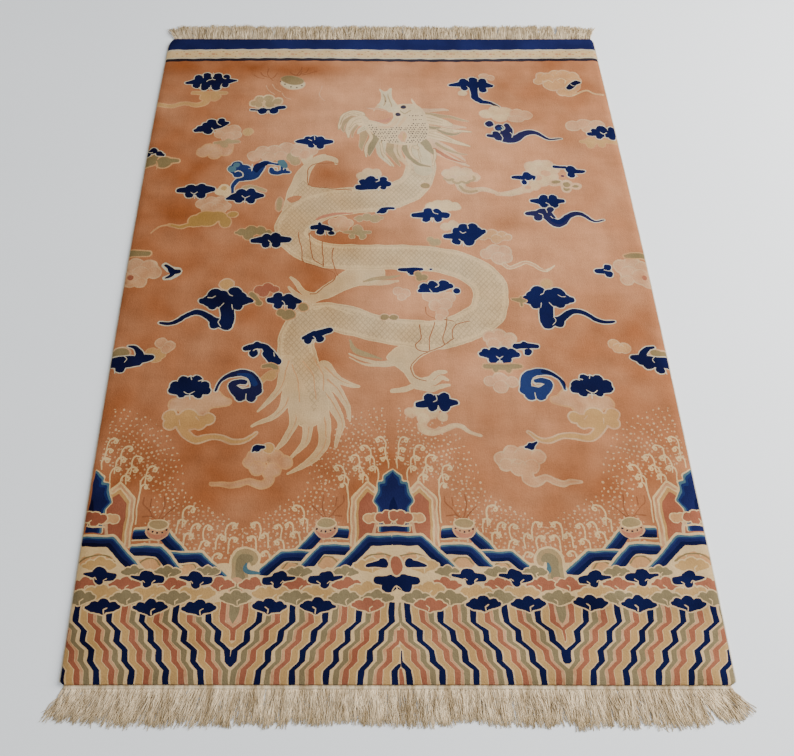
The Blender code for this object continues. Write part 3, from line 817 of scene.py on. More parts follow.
motif("navy",
      [(880, 1137, 11), (900, 1133, 12), (922, 1133, 12), (942, 1137, 11), (895, 1156, 10), (927, 1156, 11)],
      [[(868, 1141, 12), (910, 1144, 26), (954, 1141, 13)]],
      [[(902, 1146), (910, 1152), (918, 1146)], [(910, 1152), (911, 1170)]])
motif("olive", [(899, 1184, 7), (930, 1184, 7)], [[(876, 1175, 11), (915, 1176, 15), (956, 1175, 11)]],
      rim=4)
scalloped("blush", [(882, 1214, 12), (907, 1230, 16), (934, 1216, 13), (906, 1212, 18)])
scalloped("sand", [(1186, 1112, 12), (1212, 1124, 13), (1196, 1124, 13)])
motif("olive", [(1284, 1138, 14, 10), (1300, 1144, 12)], edge="haze", rim=4)
motif("navy", [(1286, 1185, 10), (1262, 1168, 14)],
      [[(1282, 1121, 4), (1267, 1126, 9), (1254, 1138, 14), (1248, 1152, 22), (1228, 1150, 13)],
       [(1246, 1158, 24), (1280, 1163, 28), (1312, 1164, 28)]],
      [[(1280, 1146), (1272, 1155), (1276, 1164)], [(1298, 1180), (1298, 1196)]])
right_side = mirrored(MIRROR_AXIS, -4)
small_fan(at=right_side)
swirl_cloud(at=right_side, dye="blue", tip="blue")
paint("navy", arm([(1057, 1232, 4), (1053, 1217, 6), (1040, 1203, 7), (1026, 1193, 9), (1010, 1189, 10)]))
scalloped("blush", [(892, 1412, 14), (916, 1398, 16), (942, 1404, 20), (972, 1408, 15), (956, 1430, 16),
                    (928, 1432, 18), (900, 1426, 14)],
          [[(944, 1440, 18), (946, 1460, 20), (962, 1468, 15), (984, 1457, 9), (1004, 1468, 9),
            (1022, 1472, 7), (1038, 1466, 5), (1060, 1467, 2)]], [[(912, 1418), (928, 1424), (940, 1416)]],
          rim=4)
motif("navy", [(960, 1383, 8)], [[(948, 1384, 6), (962, 1382, 9), (974, 1372, 4)]], rim=2)
print("clouds drawn:", len(chart), "shapes")

# %% Clouds of the middle
motif("pearl", [(588, 570, 13), (604, 558, 15), (626, 560, 14)])
motif("navy", [(590, 592, 10), (612, 585, 13), (644, 584, 11), (645, 610, 8)],
      [[(577, 611, 17), (604, 610, 19), (624, 609, 19)], [(606, 597, 32), (640, 597, 28), (660, 600, 15)]],
      [[(632, 570), (633, 586), (625, 592)], [(632, 624), (633, 613), (638, 608)]], slit=3.4)
motif("navy", [(642, 695, 10)], [[(628, 700, 5), (642, 694, 14), (654, 687, 8), (671, 686, 5)]])
motif("cream", [(770, 680, 12), (790, 674, 14), (812, 672, 14), (834, 680, 12)],
      [[(764, 686, 12), (800, 684, 18), (842, 684, 10)]], edge="pearl")
motif("navy", [(763, 697, 12), (808, 710, 10), (756, 724, 10), (787, 722, 10), (786, 700, 11)],
      [[(724, 710, 12), (762, 708, 22), (806, 709, 17)]],
      [[(770, 719), (772, 734)], [(774, 694), (778, 704), (788, 706)]])
motif("blush", [(514, 736, 14), (534, 728, 14), (550, 738, 13), (538, 752, 14), (514, 756, 12)],
      edge="pearl")
paint("rose", arm([(468, 724, 6), (488, 713, 11), (524, 705, 8), (562, 702, 4)]))
motif("navy", [(479, 767, 10), (507, 770, 8, 6)],
      [[(458, 751, 14), (478, 751, 16), (503, 757, 12)], [(475, 736, 5), (476, 750, 9)]],
      [[(493, 778), (492, 767)]])
motif("sage", [(580, 722, 10), (600, 716, 12), (622, 722, 14)], [[(570, 722, 8), (640, 720, 9)]],
      edge="haze", rim=1.5)
motif("sage", [(560, 782, 8), (576, 756, 13), (588, 782, 9), (580, 768, 12)],
      [[(540, 768, 7), (574, 768, 14), (606, 769, 9)]], edge="haze", rim=1.5)
scalloped("pearl",
          [(822, 562, 13), (846, 554, 16), (872, 558, 16), (893, 574, 13), (830, 584, 13), (860, 582, 18)],
          [[(852, 600, 16), (862, 619, 19), (886, 625, 15), (904, 618, 9), (926, 621, 7), (954, 635, 3)]],
          rim=4)
for blotch in ([(812, 580), (820, 586), (834, 582)], [(834, 590), (846, 597), (858, 591)],
               [(861, 592), (872, 597), (882, 589)], [(887, 588), (894, 580), (891, 572)],
               [(853, 606), (861, 622), (880, 629), (896, 624)]):
    paint("sage", arm(blotch, width=8))
motif("olive", [(758, 606, 13, 10)], edge="haze")
motif("sage", [(764, 792, 9), (780, 800, 11), (770, 806, 9)], edge="sand")
scalloped("pearl", [(806, 750, 12), (826, 742, 12)])
motif("navy",
      [(852, 753, 14), (875, 753, 14), (834, 764, 12), (831, 798, 11), (863, 798, 14), (888, 764, 12)],
      [[(804, 782, 13), (830, 780, 22), (864, 776, 46), (890, 770, 24), (904, 765, 12)]],
      [[(838, 790), (846, 800), (847, 814)], [(862, 742), (864, 756)], [(842, 764), (850, 771), (858, 768)]])

# %% Small clouds in the dragon's bends
scalloped("blush", [(424, 470, 20), (448, 474, 18), (406, 482, 15), (430, 488, 16)])
motif("navy", [(439, 433, 13), (472, 433, 12), (471, 458, 10), (454, 428, 10), (446, 456, 9)],
      [[(408, 440, 10), (440, 441, 24), (474, 443, 22), (502, 441, 13)], [(404, 440, 5), (420, 440, 10)]],
      [[(452, 450), (456, 460), (455, 472)], [(455, 420), (457, 432)], [(440, 432), (448, 437)]])
motif("navy", [(711, 896, 10)], [[(682, 889, 7), (711, 891, 12), (737, 888, 7)]], [[(704, 902), (705, 910)]])
paint("ivory", oval(760, 889, 6.5, 5))
paint("navy", oval(760, 889, 4, 3))
motif("olive", [(728, 904, 9), (742, 914, 10), (730, 918, 8)])
scalloped("blush", [(752, 972, 15), (778, 966, 16), (802, 976, 14), (790, 994, 16), (766, 1000, 15),
                    (782, 1022, 14), (776, 1036, 9)])
motif("navy", [(741, 946, 12), (763, 938, 12), (790, 936, 13), (772, 948, 12)],
      [[(730, 956, 9), (772, 948, 22), (806, 942, 13)]],
      [[(774, 924), (777, 938), (768, 944)], [(754, 950), (760, 960)]])
motif("navy", [(822, 956, 8)])
scalloped("blush", [(676, 958, 12), (694, 962, 11), (684, 974, 10)])
paint("pearl", arm([(598, 938, 5), (636, 931, 15), (676, 926, 7)]))
paint("sage", arm([(590, 927, 4), (612, 920, 10), (642, 916, 11), (682, 908, 4)]))
motif("olive", [(640, 1035, 11, 8), (662, 1036, 11, 8)], edge="haze")
paint("beige", arm([(554, 1140, 4), (590, 1156, 9), (624, 1166, 10), (664, 1160, 16)]),
      arm([(556, 1150, 3), (590, 1168, 6), (632, 1173, 8), (664, 1166, 12)]))
paint("sage", arm([(556, 1102, 5), (565, 1126, 13), (590, 1140, 14), (630, 1154, 4)]))
paint("cream", arm([(470, 1012, 4), (498, 1002, 6), (530, 1012, 5), (566, 1028, 3)]))
motif("navy", [(456, 1102, 9), (484, 1098, 9), (470, 1084, 9)],
      [[(443, 1096, 7), (462, 1090, 18), (486, 1080, 17), (508, 1073, 14)]],
      [[(466, 1090), (473, 1096), (472, 1108)]])
scalloped("pearl", [(694, 1298, 11), (714, 1292, 14), (742, 1298, 15), (768, 1308, 10), (724, 1310, 14)])
motif("pearl",
      arms=[[(722, 1318, 16), (720, 1336, 16), (742, 1348, 13), (768, 1340, 10), (790, 1331, 8),
             (808, 1334, 7), (824, 1346, 5), (851, 1355, 2)]],
      slits=[[(726, 1322), (726, 1336), (744, 1343), (764, 1338)]], rim=2.6)
motif("navy", [(739, 1260, 12), (773, 1260, 13), (745, 1284, 10), (772, 1281, 12), (756, 1262, 10)],
      [[(712, 1277, 12), (738, 1273, 20), (774, 1271, 22), (799, 1271, 11)]],
      [[(755, 1250), (757, 1264), (748, 1270)], [(758, 1280), (759, 1294)]])
print("with the dragon:", len(chart), "shapes")

# %% [markdown]
# The striped end is a shore: slanting stripes for deep water, rows of round waves over
# them, stepped rocks between the waves, and spray that curls up off every rock. Rocks,
# spray and roofs of water repeat along the row, so each is drawn once and placed.

# %% Spray, rocks and roofs of water
# Curl heads beside a rock: offset, height and size
CURLS = ((33, 1367, 1.0), (27, 1390, 0.7), (70, 1388, 1.1), (22, 1413, 0.7), (58, 1413, 1.0),
         (95, 1411, 1.1), (49, 1436, 0.9), (86, 1437, 1.0), (130, 1436, 1.1), (73, 1456, 0.9),
         (120, 1458, 1.0))
# Curls that rise between the rocks
LOW_CURLS = ((222, 1530, 1.2), (205, 1556, 0.8), (238, 1566, 0.9), (224, 1587, 0.9), (258, 1604, 0.9),
             (288, 1630, 0.9), (313, 1566, 1.0), (262, 1570, 0.8), (318, 1596, 0.9), (290, 1590, 0.8))
DROP_STEP = 10.0
CORNER_CUT = 2.5


def beside(axis, side, stretch=1.0, drop=0.0):
    """A rule that places a shape drawn at offsets from an upright middle line."""
    return lambda outline: outline * (side * stretch, 1) + (axis, drop)


def cut_corners(corners):
    """A straight-sided outline whose corners are cut a little, as knots round them."""
    corners = np.asarray(corners, float)
    cut = []
    for a, b, c in zip(np.roll(corners, 1, axis=0), corners, np.roll(corners, -1, axis=0)):
        for other in (a, c):
            share = min(CORNER_CUT / max(math.dist(b, other), 1e-6), 0.3)
            cut.append(b + (other - b) * share)
    return straight(cut)


def curl(x, y, size, at):
    """One curl of spray: a stem that rises, bends over outwards and ends in a disc."""
    stem = [(x - 17 * size, y + 32 * size, 2.6), (x - 18 * size, y + 8 * size, 3.4),
            (x - 13 * size, y - 5 * size, 4.0), (x - 3, y - 7 * size, 4.2), (x + 4, y - 1, 4.0)]
    paint("cream", arm(stem), oval(x - 1, y + 1, 5.4), at=at)
    paint("sand", oval(x - 1.5, y + 1.5, 2.2), at=at)


def dots(places, at):
    """Drops of spray, none quite in its place and none quite like the next."""
    for x, y in places:
        off_x, off_y = math.sin(x * 1.9 + y * 0.7), math.sin(x * 0.9 - y * 1.3)
        drop = oval(x + 2.6 * off_x, y + 2.6 * off_y, 2.5 + 0.6 * off_y, 2.4 + 0.6 * off_x)
        paint("haze", drop, at=at)


def spray(at):
    """The curls and drops round one side of a rock, and those in the valley beside it."""
    ring = []
    for radius in np.arange(62, 196, DROP_STEP):
        step = (DROP_STEP + max(0, radius - 130) / 8) / radius
        for turn in np.arange(0.06 + radius % 5 / 40, 1.62, step):
            ring.append((radius * math.sin(turn), 1480 - radius * 1.02 * math.cos(turn)))
    valley = []
    for row, y in enumerate(np.arange(1452, 1640, DROP_STEP)):
        for x in np.arange(120, 332, DROP_STEP + max(0, 1530 - y) / 12):
            valley.append((x + row % 2 * 5, y))
    dots([place for place in ring if place[0] > 104 or place[1] < 1462], at)
    dots([(x, y) for x, y in valley if y > 1436 + 0.6 * (x - 110) and y > 1486 + 4.0 * (140 - x)], at)
    for x, y, size in CURLS + LOW_CURLS:
        curl(x, y, size, at)
    paint("cream",
          arm([(102, 1560, 3), (101, 1510, 3.4), (103, 1480, 3.6), (110, 1470, 3.8), (117, 1473, 3.8)]),
          oval(115, 1477, 5.2), at=at)


def column(at):
    """The gabled arch of foam beside a rock, with a warm panel inside it."""
    paint("tan", cut_corners([(46, 1488), (58, 1478), (86, 1510), (86, 1606), (24, 1606), (24, 1530)]),
          at=at)
    paint("coral", cut_corners([(46, 1500), (57, 1490), (78, 1514), (78, 1606), (24, 1606), (24, 1530)]),
          at=at)
    gable = [(34, 1484), (58, 1462), (96, 1504), (97, 1612), (83, 1612), (83, 1510), (58, 1480), (42, 1496)]
    paint("cream", cut_corners(gable), at=at)
    gable = [(40, 1486), (58, 1468), (92, 1507), (93, 1612), (87, 1612), (87, 1509), (58, 1475), (44, 1490)]
    paint("blush", cut_corners(gable), at=at)
    paint("haze", arm([(40, 1560), (44, 1580), (44, 1600)], width=7), at=at)


# The layers of a band of water, each with its distance below the crest
WATER = (("cream", 0), ("teal", 5), ("blue", 9), ("indigo", 12.5), ("navy", 19))


def roof(start, flat, end, top, fall, at, thick=27):
    """A band of water, level from start to flat and then falling to end, in even layers."""
    for dye, inset in WATER:
        paint(dye, cut_corners([(start, top + inset), (flat - inset * 0.4, top + inset),
                                (end - inset * 1.3, top + fall), (end - thick * 1.45, top + fall),
                                (flat - thick * 0.45, top + thick), (start, top + thick)]), at=at)
    foot = top + thick + 1.5
    paint("cream", arm([(start, foot), (flat - thick * 0.5, foot)], width=3), at=at)


def rock(halves):
    """A stepped rock over its axis, in the one or two halves that lie on the rug."""
    half = [(0, 1447), (12, 1463), (12, 1476), (25, 1478), (25, 1496), (38, 1512), (25, 1528), (25, 1540),
            (25, 1580), (0, 1580)]
    for dye, grow in (("cream", 14.0), ("teal", 11.0), ("blue", 5.5), ("indigo", 0.0)):
        steps = [(x + grow * 0.8 if x else -2, y - grow * 0.9 if y < 1500 else y) for x, y in half]
        for at in halves:
            paint(dye, cut_corners(steps), at=at)
    for at in halves:
        paint("navy", cut_corners([(-2, 1500), (6, 1510), (9, 1524), (9, 1540), (-2, 1540)]), at=at)
        motif("sand", [(44, 1549, 9), (56, 1550, 10)], at=at)
        motif("coral", [(30, 1549, 9), (14, 1544, 10), (0, 1542, 9), (14, 1556, 9)],
              [[(-2, 1548, 14), (34, 1550, 12)]], at=at)
        paint("cream", arm([(0, 1566), (1, 1558), (7, 1552)], width=2.6), at=at)
        paint("cream", cut_corners([(-2, 1564), (40, 1564), (40, 1568), (-2, 1568)]), at=at)


def bowl(at):
    """A bowl of jewels between the rocks, with twigs of coral over it."""
    for twig in ([(112, 1500), (113, 1516), (126, 1527), (140, 1546)], [(128, 1503), (129, 1521)],
                 [(157, 1498), (158, 1530), (150, 1552)], [(181, 1523), (165, 1540), (153, 1552)],
                 [(115, 1545), (136, 1543), (150, 1553)]):
        paint("umber", arm(twig, width=3.2), at=at)
    paint("haze", oval(150, 1574, 26, 22), at=at)
    paint("rose", oval(150, 1576, 22, 18), at=at)
    paint("blush", oval(150, 1571, 22, 13), at=at)
    paint("cream", oval(150, 1562, 23, 13), at=at)
    paint("sage", oval(150, 1561, 20, 10), at=at)
    for x, y in ((-19, 0), (-10, 5), (0, 7), (10, 5), (19, 0)):
        paint("soot", oval(150 + x, 1573 + y, 2.4), at=at)


def under_roof(x, y, width, at):
    """Curled foam under a roof: sand lobes with olive lines."""
    motif("sand", [(x - width * 0.3, y, 12), (x, y - 5, 14), (x + width * 0.3, y, 12)], at=at)
    line = [(x - width * 0.5, y + 2), (x - width * 0.2, y - 12), (x + width * 0.2, y - 13),
            (x + width * 0.5, y + 2)]
    paint("olive", arm(line, width=3.2), at=at)


# The rocks' halves from left to right: axis, side, stretch and drop
HALVES = ((1, 1, 1.0, 3), (650, -1, 0.955, 0), (650, 1, 0.985, 0), (1305, -1, 1.02, -1))
sides = [beside(*half) for half in HALVES]
for draw in (spray, column):
    for at in sides:
        draw(at)
paint("cream",
      straight([(-OUTSIDE, 1650), (CHART_WIDTH + OUTSIDE, 1646),
                (CHART_WIDTH + OUTSIDE, CHART_LENGTH + OUTSIDE), (-OUTSIDE, CHART_LENGTH + OUTSIDE)]))
for at in sides:
    for foam in ([(-6, 1606), (60, 1606), (140, 1662), (-6, 1662)],
                 [(92, 1622), (165, 1622), (212, 1660), (92, 1660)],
                 [(180, 1636), (250, 1636), (300, 1668), (180, 1668)]):
        paint("cream", straight(foam), at=at)
    under_roof(222, 1660, 44, at)
    roof(178, 250, 312, 1617, 56, at)
    under_roof(142, 1648, 46, at)
    roof(100, 172, 220, 1567, 52, at)
    roof(97, 165, 214, 1603, 52, at)
    under_roof(34, 1642, 80, at)
    roof(-6, 61, 140, 1583, 78, at)
    bowl(at)
for halves in (sides[:1], sides[1:3], sides[3:]):
    rock(halves)
for x, side in ((338, 1), (972, -1)):
    at = beside(x, side)
    paint("cream", patch([(-27, 1694), (-29, 1660), (-28, 1634), (-18, 1618), (2, 1613), (22, 1617),
                          (33, 1632), (33, 1660), (31, 1694)]), at=at)
    paint("sage", patch([(-21, 1694), (-24, 1660), (-23, 1638), (-14, 1622), (2, 1617), (18, 1621),
                         (28, 1634), (26, 1650), (10, 1660), (10, 1694)]), at=at)
    paint("moss", patch([(-14, 1684), (-16, 1656), (-14, 1636), (-4, 1628), (10, 1628), (19, 1636),
                         (17, 1646), (6, 1648), (2, 1664), (4, 1678), (-4, 1684)]), at=at)
    paint("teal", arm([(6, 1648, 5), (4, 1658, 9), (11, 1667, 9), (34, 1669, 6)]), at=at)
    paint("cream", arm([(11, 1648, 5), (13, 1657, 9), (24, 1660, 7), (34, 1656, 4)]), at=at)

# %% Waves and slanting stripes
STRIPE_TOP, STRIPE_FOOT = 1732.0, 1902
STRIPE_MEET = 656.5
# Where the fans at the rug's sides end, past its edges
STRIPE_REACH = 420.0
# How far the stripes have moved inwards at each height of the chart
STRIPE_STEPS = ((1728, 0), (1767, 1), (1784, 22.5), (1804, 23.5), (1822, 44.5), (1842, 45.5), (1859, 63),
                (1902, 65))
# Stripes beside an axis: axis, side, first navy stripe, step, how much more the far ones lean
STRIPE_FANS = ((325.0, -1, 51.0, 66.0, -0.00025), (325.0, 1, 52.0, 66.2, 0.0), (980.5, -1, 47.5, 65.0, 0.0),
               (980.5, 1, 49.5, 64.6, 0.00043))
# The stripes of one step: dye, place against the navy one, width
STRIPE_DYES = (("gold", -15.5, 12.5), ("coral", -29, 11.5), ("blush", -38, 5), ("moss", -47, 11),
               ("navy", 0, 12.5))


def stripe(dye, place, width, axis, side, lean):
    """One slanting stripe: place is its distance from the axis where the stripes start."""
    heights, shifts = np.array(STRIPE_STEPS, float).T
    y = np.sort(np.r_[np.arange(STRIPE_TOP, STRIPE_FOOT, 6.0), heights])
    inwards = np.interp(y, heights, shifts) * (1 + lean * place)
    reach = abs(STRIPE_MEET - axis) if side * (STRIPE_MEET - axis) > 0 else STRIPE_REACH
    near = np.clip(place - width / 2 - inwards, -1.5, reach)
    far = np.clip(place + width / 2 - inwards, -1.5, reach)
    kept = far - near > 0.8
    if kept.sum() > 2:
        inner = np.stack([axis + side * near[kept], y[kept]], 1)
        outer = np.stack([axis + side * far[kept], y[kept]], 1)
        paint(dye, np.concatenate([inner, outer[::-1]]))


for axis, side, first, step, lean in STRIPE_FANS:
    for number in range(7):
        for dye, offset, width in STRIPE_DYES:
            stripe(dye, first + number * step + offset, width, axis, side, lean)
for axis in sorted({fan[0] for fan in STRIPE_FANS}):
    paint("blush", arm([(axis, 1690, 28), (axis, 1745, 28), (axis, 1764, 20), (axis, 1776, 6)]))
    paint("moss", arm([(axis, 1700, 20), (axis, 1742, 20), (axis, 1760, 14), (axis, 1769, 5)]))
paint("coral", arm([(657, 1858, 6), (657, 1890, 11)]))


def foam_cloud(dye, x, y, size, side):
    """A low lobed cloud of foam, with one thin curl in its foot."""
    motif(dye, [(-16, 0, 9), (1, -4, 10.5), (18, -1, 8.5), (2, 7, 7)],
          [[(-28, 1, 6), (0, 3, 17), (28, 0, 7)]], [[(4, 13), (3, 6), (9, 2)]], edge="cream",
          at=lambda outline: outline * (side * size, size) + (x, y))


def wave(x, y, side):
    """A round wave: a head, a thick bar towards the shore's middle and a thin tip behind."""
    motif("navy", [(-4, -5, 11), (3, -3, 11), (2, 10, 9)],
          [[(-32, -3, 4), (-18, -1, 8), (4, 2, 17), (28, 3, 14)]],
          [[(13, 17), (11, 10), (17, 6)], [(-14, 8), (-8, 5), (-4, 9)]], edge="cream",
          at=beside(x, side, 1, y))


# Rows of foam: dye, height, size, the side that clouds of the right half face, and places
FOAM_ROWS = (
    ("moss", 1666, 0.86, 1, (114, 183, 262, 452, 548, 758, 858, 936, 1104, 1192)),
    ("gold", 1652, 1.1, 1, (40, 600, 706, 1262)),
    ("coral", 1692, 1.02, -1, (15, 98, 192, 290, 362, 452, 552, 752, 864, 950, 1008, 1106, 1204, 1290)),
    ("gold", 1710, 1.25, 1, (52, 150, 245, 398, 492, 812, 902, 1058, 1152, 1248)),
    ("gold", 1702, 1.1, 1, (590, 716)),
    ("moss", 1719, 1.05, -1, (8, 104, 200, 326, 446, 546, 612, 694, 762, 860, 980, 1104, 1200, 1292)),
)
for dye, y, size, right_side, places in FOAM_ROWS:
    for x in places:
        foam_cloud(dye, x, y, size, 1 if x < 650 else right_side)
WAVES = ((44, 1673, 1), (142, 1679, 1), (242, 1681, 1), (412, 1681, -1), (508, 1680, -1), (800, 1675, 1),
         (896, 1676, 1), (1058, 1679, -1), (1156, 1675, -1), (1250, 1680, -1))
for x, y, side in WAVES:
    wave(x, y, side)
motif("navy", [(641, 1688, 16), (665, 1688, 16), (634, 1697, 11), (672, 1697, 11)],
      [[(612, 1684, 14), (644, 1684, 20), (662, 1684, 20), (694, 1684, 14)]],
      [[(653, 1695), (653, 1713)], [(644, 1703), (653, 1694), (662, 1703)]], edge="cream")
for side in (-1, 1):
    motif("navy", [(27, 1647, 9)], [[(60, 1652, 5), (42, 1650, 11), (24, 1650, 14)]], edge="cream",
          at=beside(653, side))
motif("coral", [(653, 1652, 11, 19)], rim=4)
FRONT_ROW = ((60, 1737, 1), (155, 1738, 1), (254, 1739, 1), (396, 1736, -1), (493, 1735, -1), (826, 1731, 1),
             (916, 1731, 1), (1043, 1729, -1), (1140, 1731, -1), (1240, 1731, -1))
for x, y, side in FRONT_ROW:
    foam_cloud("navy", x, y, 1.12, side)
for x, side in ((593, 1), (720, -1)):
    foam_cloud("coral", x, 1733, 1.02, side)
print("whole chart:", len(chart), "shapes")

# %% [markdown]
# Knots can't follow a drawn line exactly, so the lines first wander by about a
# millimetre. Shapes hide parts of one another as well. To find the lines that stay in
# sight, all of them are triangulated and each triangle asks which dye lies on top.

# %% Finding the colour borders
SNAP = 1.1
# So many comparisons of points with sides are held in memory at once
COMPARED_AT_ONCE = 2_000_000


def wandered(points):
    """Moves chart places a little, each with its neighbours, as knots and years do."""
    x, y = points.T
    across = 0.85 * np.sin(y / 9.1 + 1.9 * np.sin(x / 33)) + 0.45 * np.sin(x / 3.3 + y / 4.7)
    down = 0.85 * np.sin(x / 10.3 + 2.1 * np.sin(y / 29)) + 0.45 * np.sin(y / 3.1 - x / 5.3)
    return points + np.stack([across, down], 1)


def covers(outline, points):
    """Which points an outline goes round, counted by its turns about them."""
    ends = np.roll(outline, -1, axis=0)
    step_x, step_y = (ends - outline).T
    inside = np.zeros(len(points), bool)
    parts = max(1, len(points) * len(outline) // COMPARED_AT_ONCE)
    for part in np.array_split(np.arange(len(points)), parts):
        off_x = points[part, 0][:, None] - outline[:, 0]
        off_y = points[part, 1][:, None] - outline[:, 1]
        under = off_y >= 0
        under_end = points[part, 1][:, None] >= ends[:, 1]
        left = step_x * off_y - off_x * step_y > 0
        turns = (under & ~under_end & left).sum(1) - (~under & under_end & ~left).sum(1)
        inside[part] = turns != 0
    return inside


def dye_at(points, shapes):
    """The number of the dye on top at each place, for shapes in painter's order."""
    order = np.argsort(points[:, 1])
    places = points[order]
    top = np.zeros(len(points), int)
    for dye, outline in shapes:
        low, high = outline.min(0), outline.max(0)
        first, last = np.searchsorted(places[:, 1], (low[1], high[1]))
        part = places[first:last, 0]
        near = first + np.flatnonzero((part > low[0]) & (part < high[0]))
        if len(near):
            top[near[covers(outline, places[near])]] = dye
    found = np.empty_like(top)
    found[order] = top
    return found


def triangulated(points, lines):
    """Points and triangles of a constrained triangulation."""
    made = delaunay_2d_cdt([Vector(point) for point in points], lines.tolist(), [], 0, 1e-4, False)
    return np.array([(point.x, point.y) for point in made[0]]), np.array(made[2])


def both_ways(triangles):
    """Every edge of the triangles with the triangles beside it; -1 where there is none."""
    sides = np.concatenate([triangles[:, [0, 1]], triangles[:, [1, 2]], triangles[:, [2, 0]]])
    owner = np.tile(np.arange(len(triangles)), 3)
    ordered = np.sort(sides, axis=1)
    order = np.lexsort((ordered[:, 1], ordered[:, 0]))
    ordered, owner = ordered[order], owner[order]
    is_new = np.r_[True, (ordered[1:] != ordered[:-1]).any(1)]
    first = np.flatnonzero(is_new)
    is_pair = np.r_[~is_new[1:], False][first]
    other = np.where(is_pair, owner[np.minimum(first + 1, len(owner) - 1)], -1)
    return ordered[first], owner[first], other


def colour_borders(shapes):
    """End points of every piece of line with a different dye on either side."""
    points = np.concatenate([outline for dye, outline in shapes])
    lines, start = [], 0
    for dye, outline in shapes:
        index = np.arange(start, start + len(outline))
        lines.append(np.stack([index, np.roll(index, -1)], 1))
        start += len(outline)
    points, triangles = triangulated(points, np.concatenate(lines))
    dyes = dye_at(points[triangles].mean(1), shapes)
    edges, one, other = both_ways(triangles)
    differs = (other >= 0) & (dyes[one] != dyes[other])
    return points[edges[differs]]


def joined_up(segments, snap):
    """Segments snapped together into points and numbered lines, short ones dropped."""
    keys = np.round(segments.reshape(-1, 2) / snap).astype(int)
    first, number = np.unique(keys, axis=0, return_index=True, return_inverse=True)[1:]
    lines = np.sort(number.reshape(-1, 2), axis=1)
    lines = np.unique(lines[lines[:, 0] != lines[:, 1]], axis=0)
    return segments.reshape(-1, 2)[first], lines


shapes = [(dye_names.index(dye), wandered(outline)) for dye, outline in chart]
border_points, border_lines = joined_up(colour_borders(shapes), SNAP)
print(len(border_lines), "pieces of colour border")

# %% [markdown]
# Straight runs of border need few points. A point goes if its two neighbours' line
# passes close by, and a few rounds of that halve the mesh without a change to be seen.

# %% Thinning the borders
THIN_ROUNDS = 5
THIN_SEED = 5
THIN_BEND, THIN_LONGEST = 0.6, 9.0


def without_needless(points, lines, tolerance, longest, held=None):
    """Lines with the points left out that bend their line less than the tolerance."""
    chance = np.random.default_rng(THIN_SEED)
    held = np.zeros(len(points), bool) if held is None else held
    for thinning in range(THIN_ROUNDS):
        ends = np.concatenate([lines, lines[:, ::-1]])
        ends = ends[np.argsort(ends[:, 0], kind="stable")]
        count = np.bincount(ends[:, 0], minlength=len(points))
        start = np.cumsum(count) - count
        middle = np.flatnonzero(count == 2)
        before, after = ends[start[middle], 1], ends[start[middle] + 1, 1]
        span = points[after] - points[before]
        length = np.maximum(np.linalg.norm(span, axis=1), 1e-9)
        off = points[middle] - points[before]
        bend_off = np.abs(span[:, 0] * off[:, 1] - span[:, 1] * off[:, 0]) / length
        may_go = (bend_off < tolerance) & (length < longest) & ~held[middle]
        rank = np.zeros(len(points))
        rank[middle[may_go]] = chance.random(may_go.sum()) + 0.1
        goes = may_go & (rank[middle] > rank[before]) & (rank[middle] > rank[after])
        gone = np.zeros(len(points), bool)
        gone[middle[goes]] = True
        kept = lines[~gone[lines].any(1)]
        bridges = np.sort(np.stack([before[goes], after[goes]], 1), axis=1)
        lines = np.unique(np.concatenate([kept, bridges]), axis=0)
    used, number = np.unique(lines, return_inverse=True)
    return points[used], number.reshape(-1, 2)


border_points, border_lines = without_needless(border_points, border_lines, THIN_BEND, THIN_LONGEST)
print(len(border_points), "points on the colour borders")

# %% [markdown]
# The loom leaves its own outline: the sides bow out a few millimetres, the ends wander
# and each corner is worn round in its own way. The pile also rolls down along its rim.

# %% The rug's outline and height
PILE_WIDTH = 1.300
PILE_LENGTH = 1.885
PILE_HEIGHT = 0.011
SIDE_BOW = 0.0085
SIDE_WANDER = 0.0012
END_WANDER = 0.0022
TOP_WANDER = 0.0005
WANDER_PER_METRE = 3.0
RIM_DROP = 0.0035
RIM_ROLL = 0.016
RIM_STEP = 0.005
# Reach of each corner's rounding along the end and along the side
CORNER_ROUND = {(-1, -1): (0.008, 0.008), (1, -1): (0.008, 0.008),
                (-1, 1): (0.016, 0.042), (1, 1): (0.008, 0.016)}
CARVED = 0.00035
PILE_TUFTS = 0.0003
# The distance to the rim is only worked out this near to it, in chart millimetres
RIM_FAR = 40.0
RIM_BELT = (25, 50)


def smooth_wander(place, lane):
    """Slow unevenness between -1 and 1 along a line; each lane wanders by itself."""
    return noise.noise(Vector((place * WANDER_PER_METRE, lane * 7.3, 0.4)))


def rounded(x, y):
    """A point of the plain rectangle, drawn in where its corner is round."""
    side_x, side_y = (-1 if x < 0 else 1), (-1 if y < 0 else 1)
    reach_x, reach_y = CORNER_ROUND[side_x, side_y]
    start_x, start_y = PILE_WIDTH / 2 - reach_x, PILE_LENGTH / 2 - reach_y
    out_x, out_y = (abs(x) - start_x) / reach_x, (abs(y) - start_y) / reach_y
    if out_x <= 0 or out_y <= 0:
        return x, y
    round_x = start_x + reach_x * out_x * math.sqrt(1 - out_y * out_y / 2)
    round_y = start_y + reach_y * out_y * math.sqrt(1 - out_x * out_x / 2)
    return side_x * round_x, side_y * round_y


def pile_place(x, y):
    """Where the loom left a point of the plain rectangle, in metres from its middle."""
    share_x, share_y = 2 * x / PILE_WIDTH, 2 * y / PILE_LENGTH
    x, y = rounded(x, y)
    bow = SIDE_BOW * (1 - share_y * share_y)
    bow += SIDE_WANDER * smooth_wander(y, -1 if share_x < 0 else 1)
    return x + share_x * bow, y + share_y * END_WANDER * smooth_wander(x, -2 if share_y < 0 else 2)


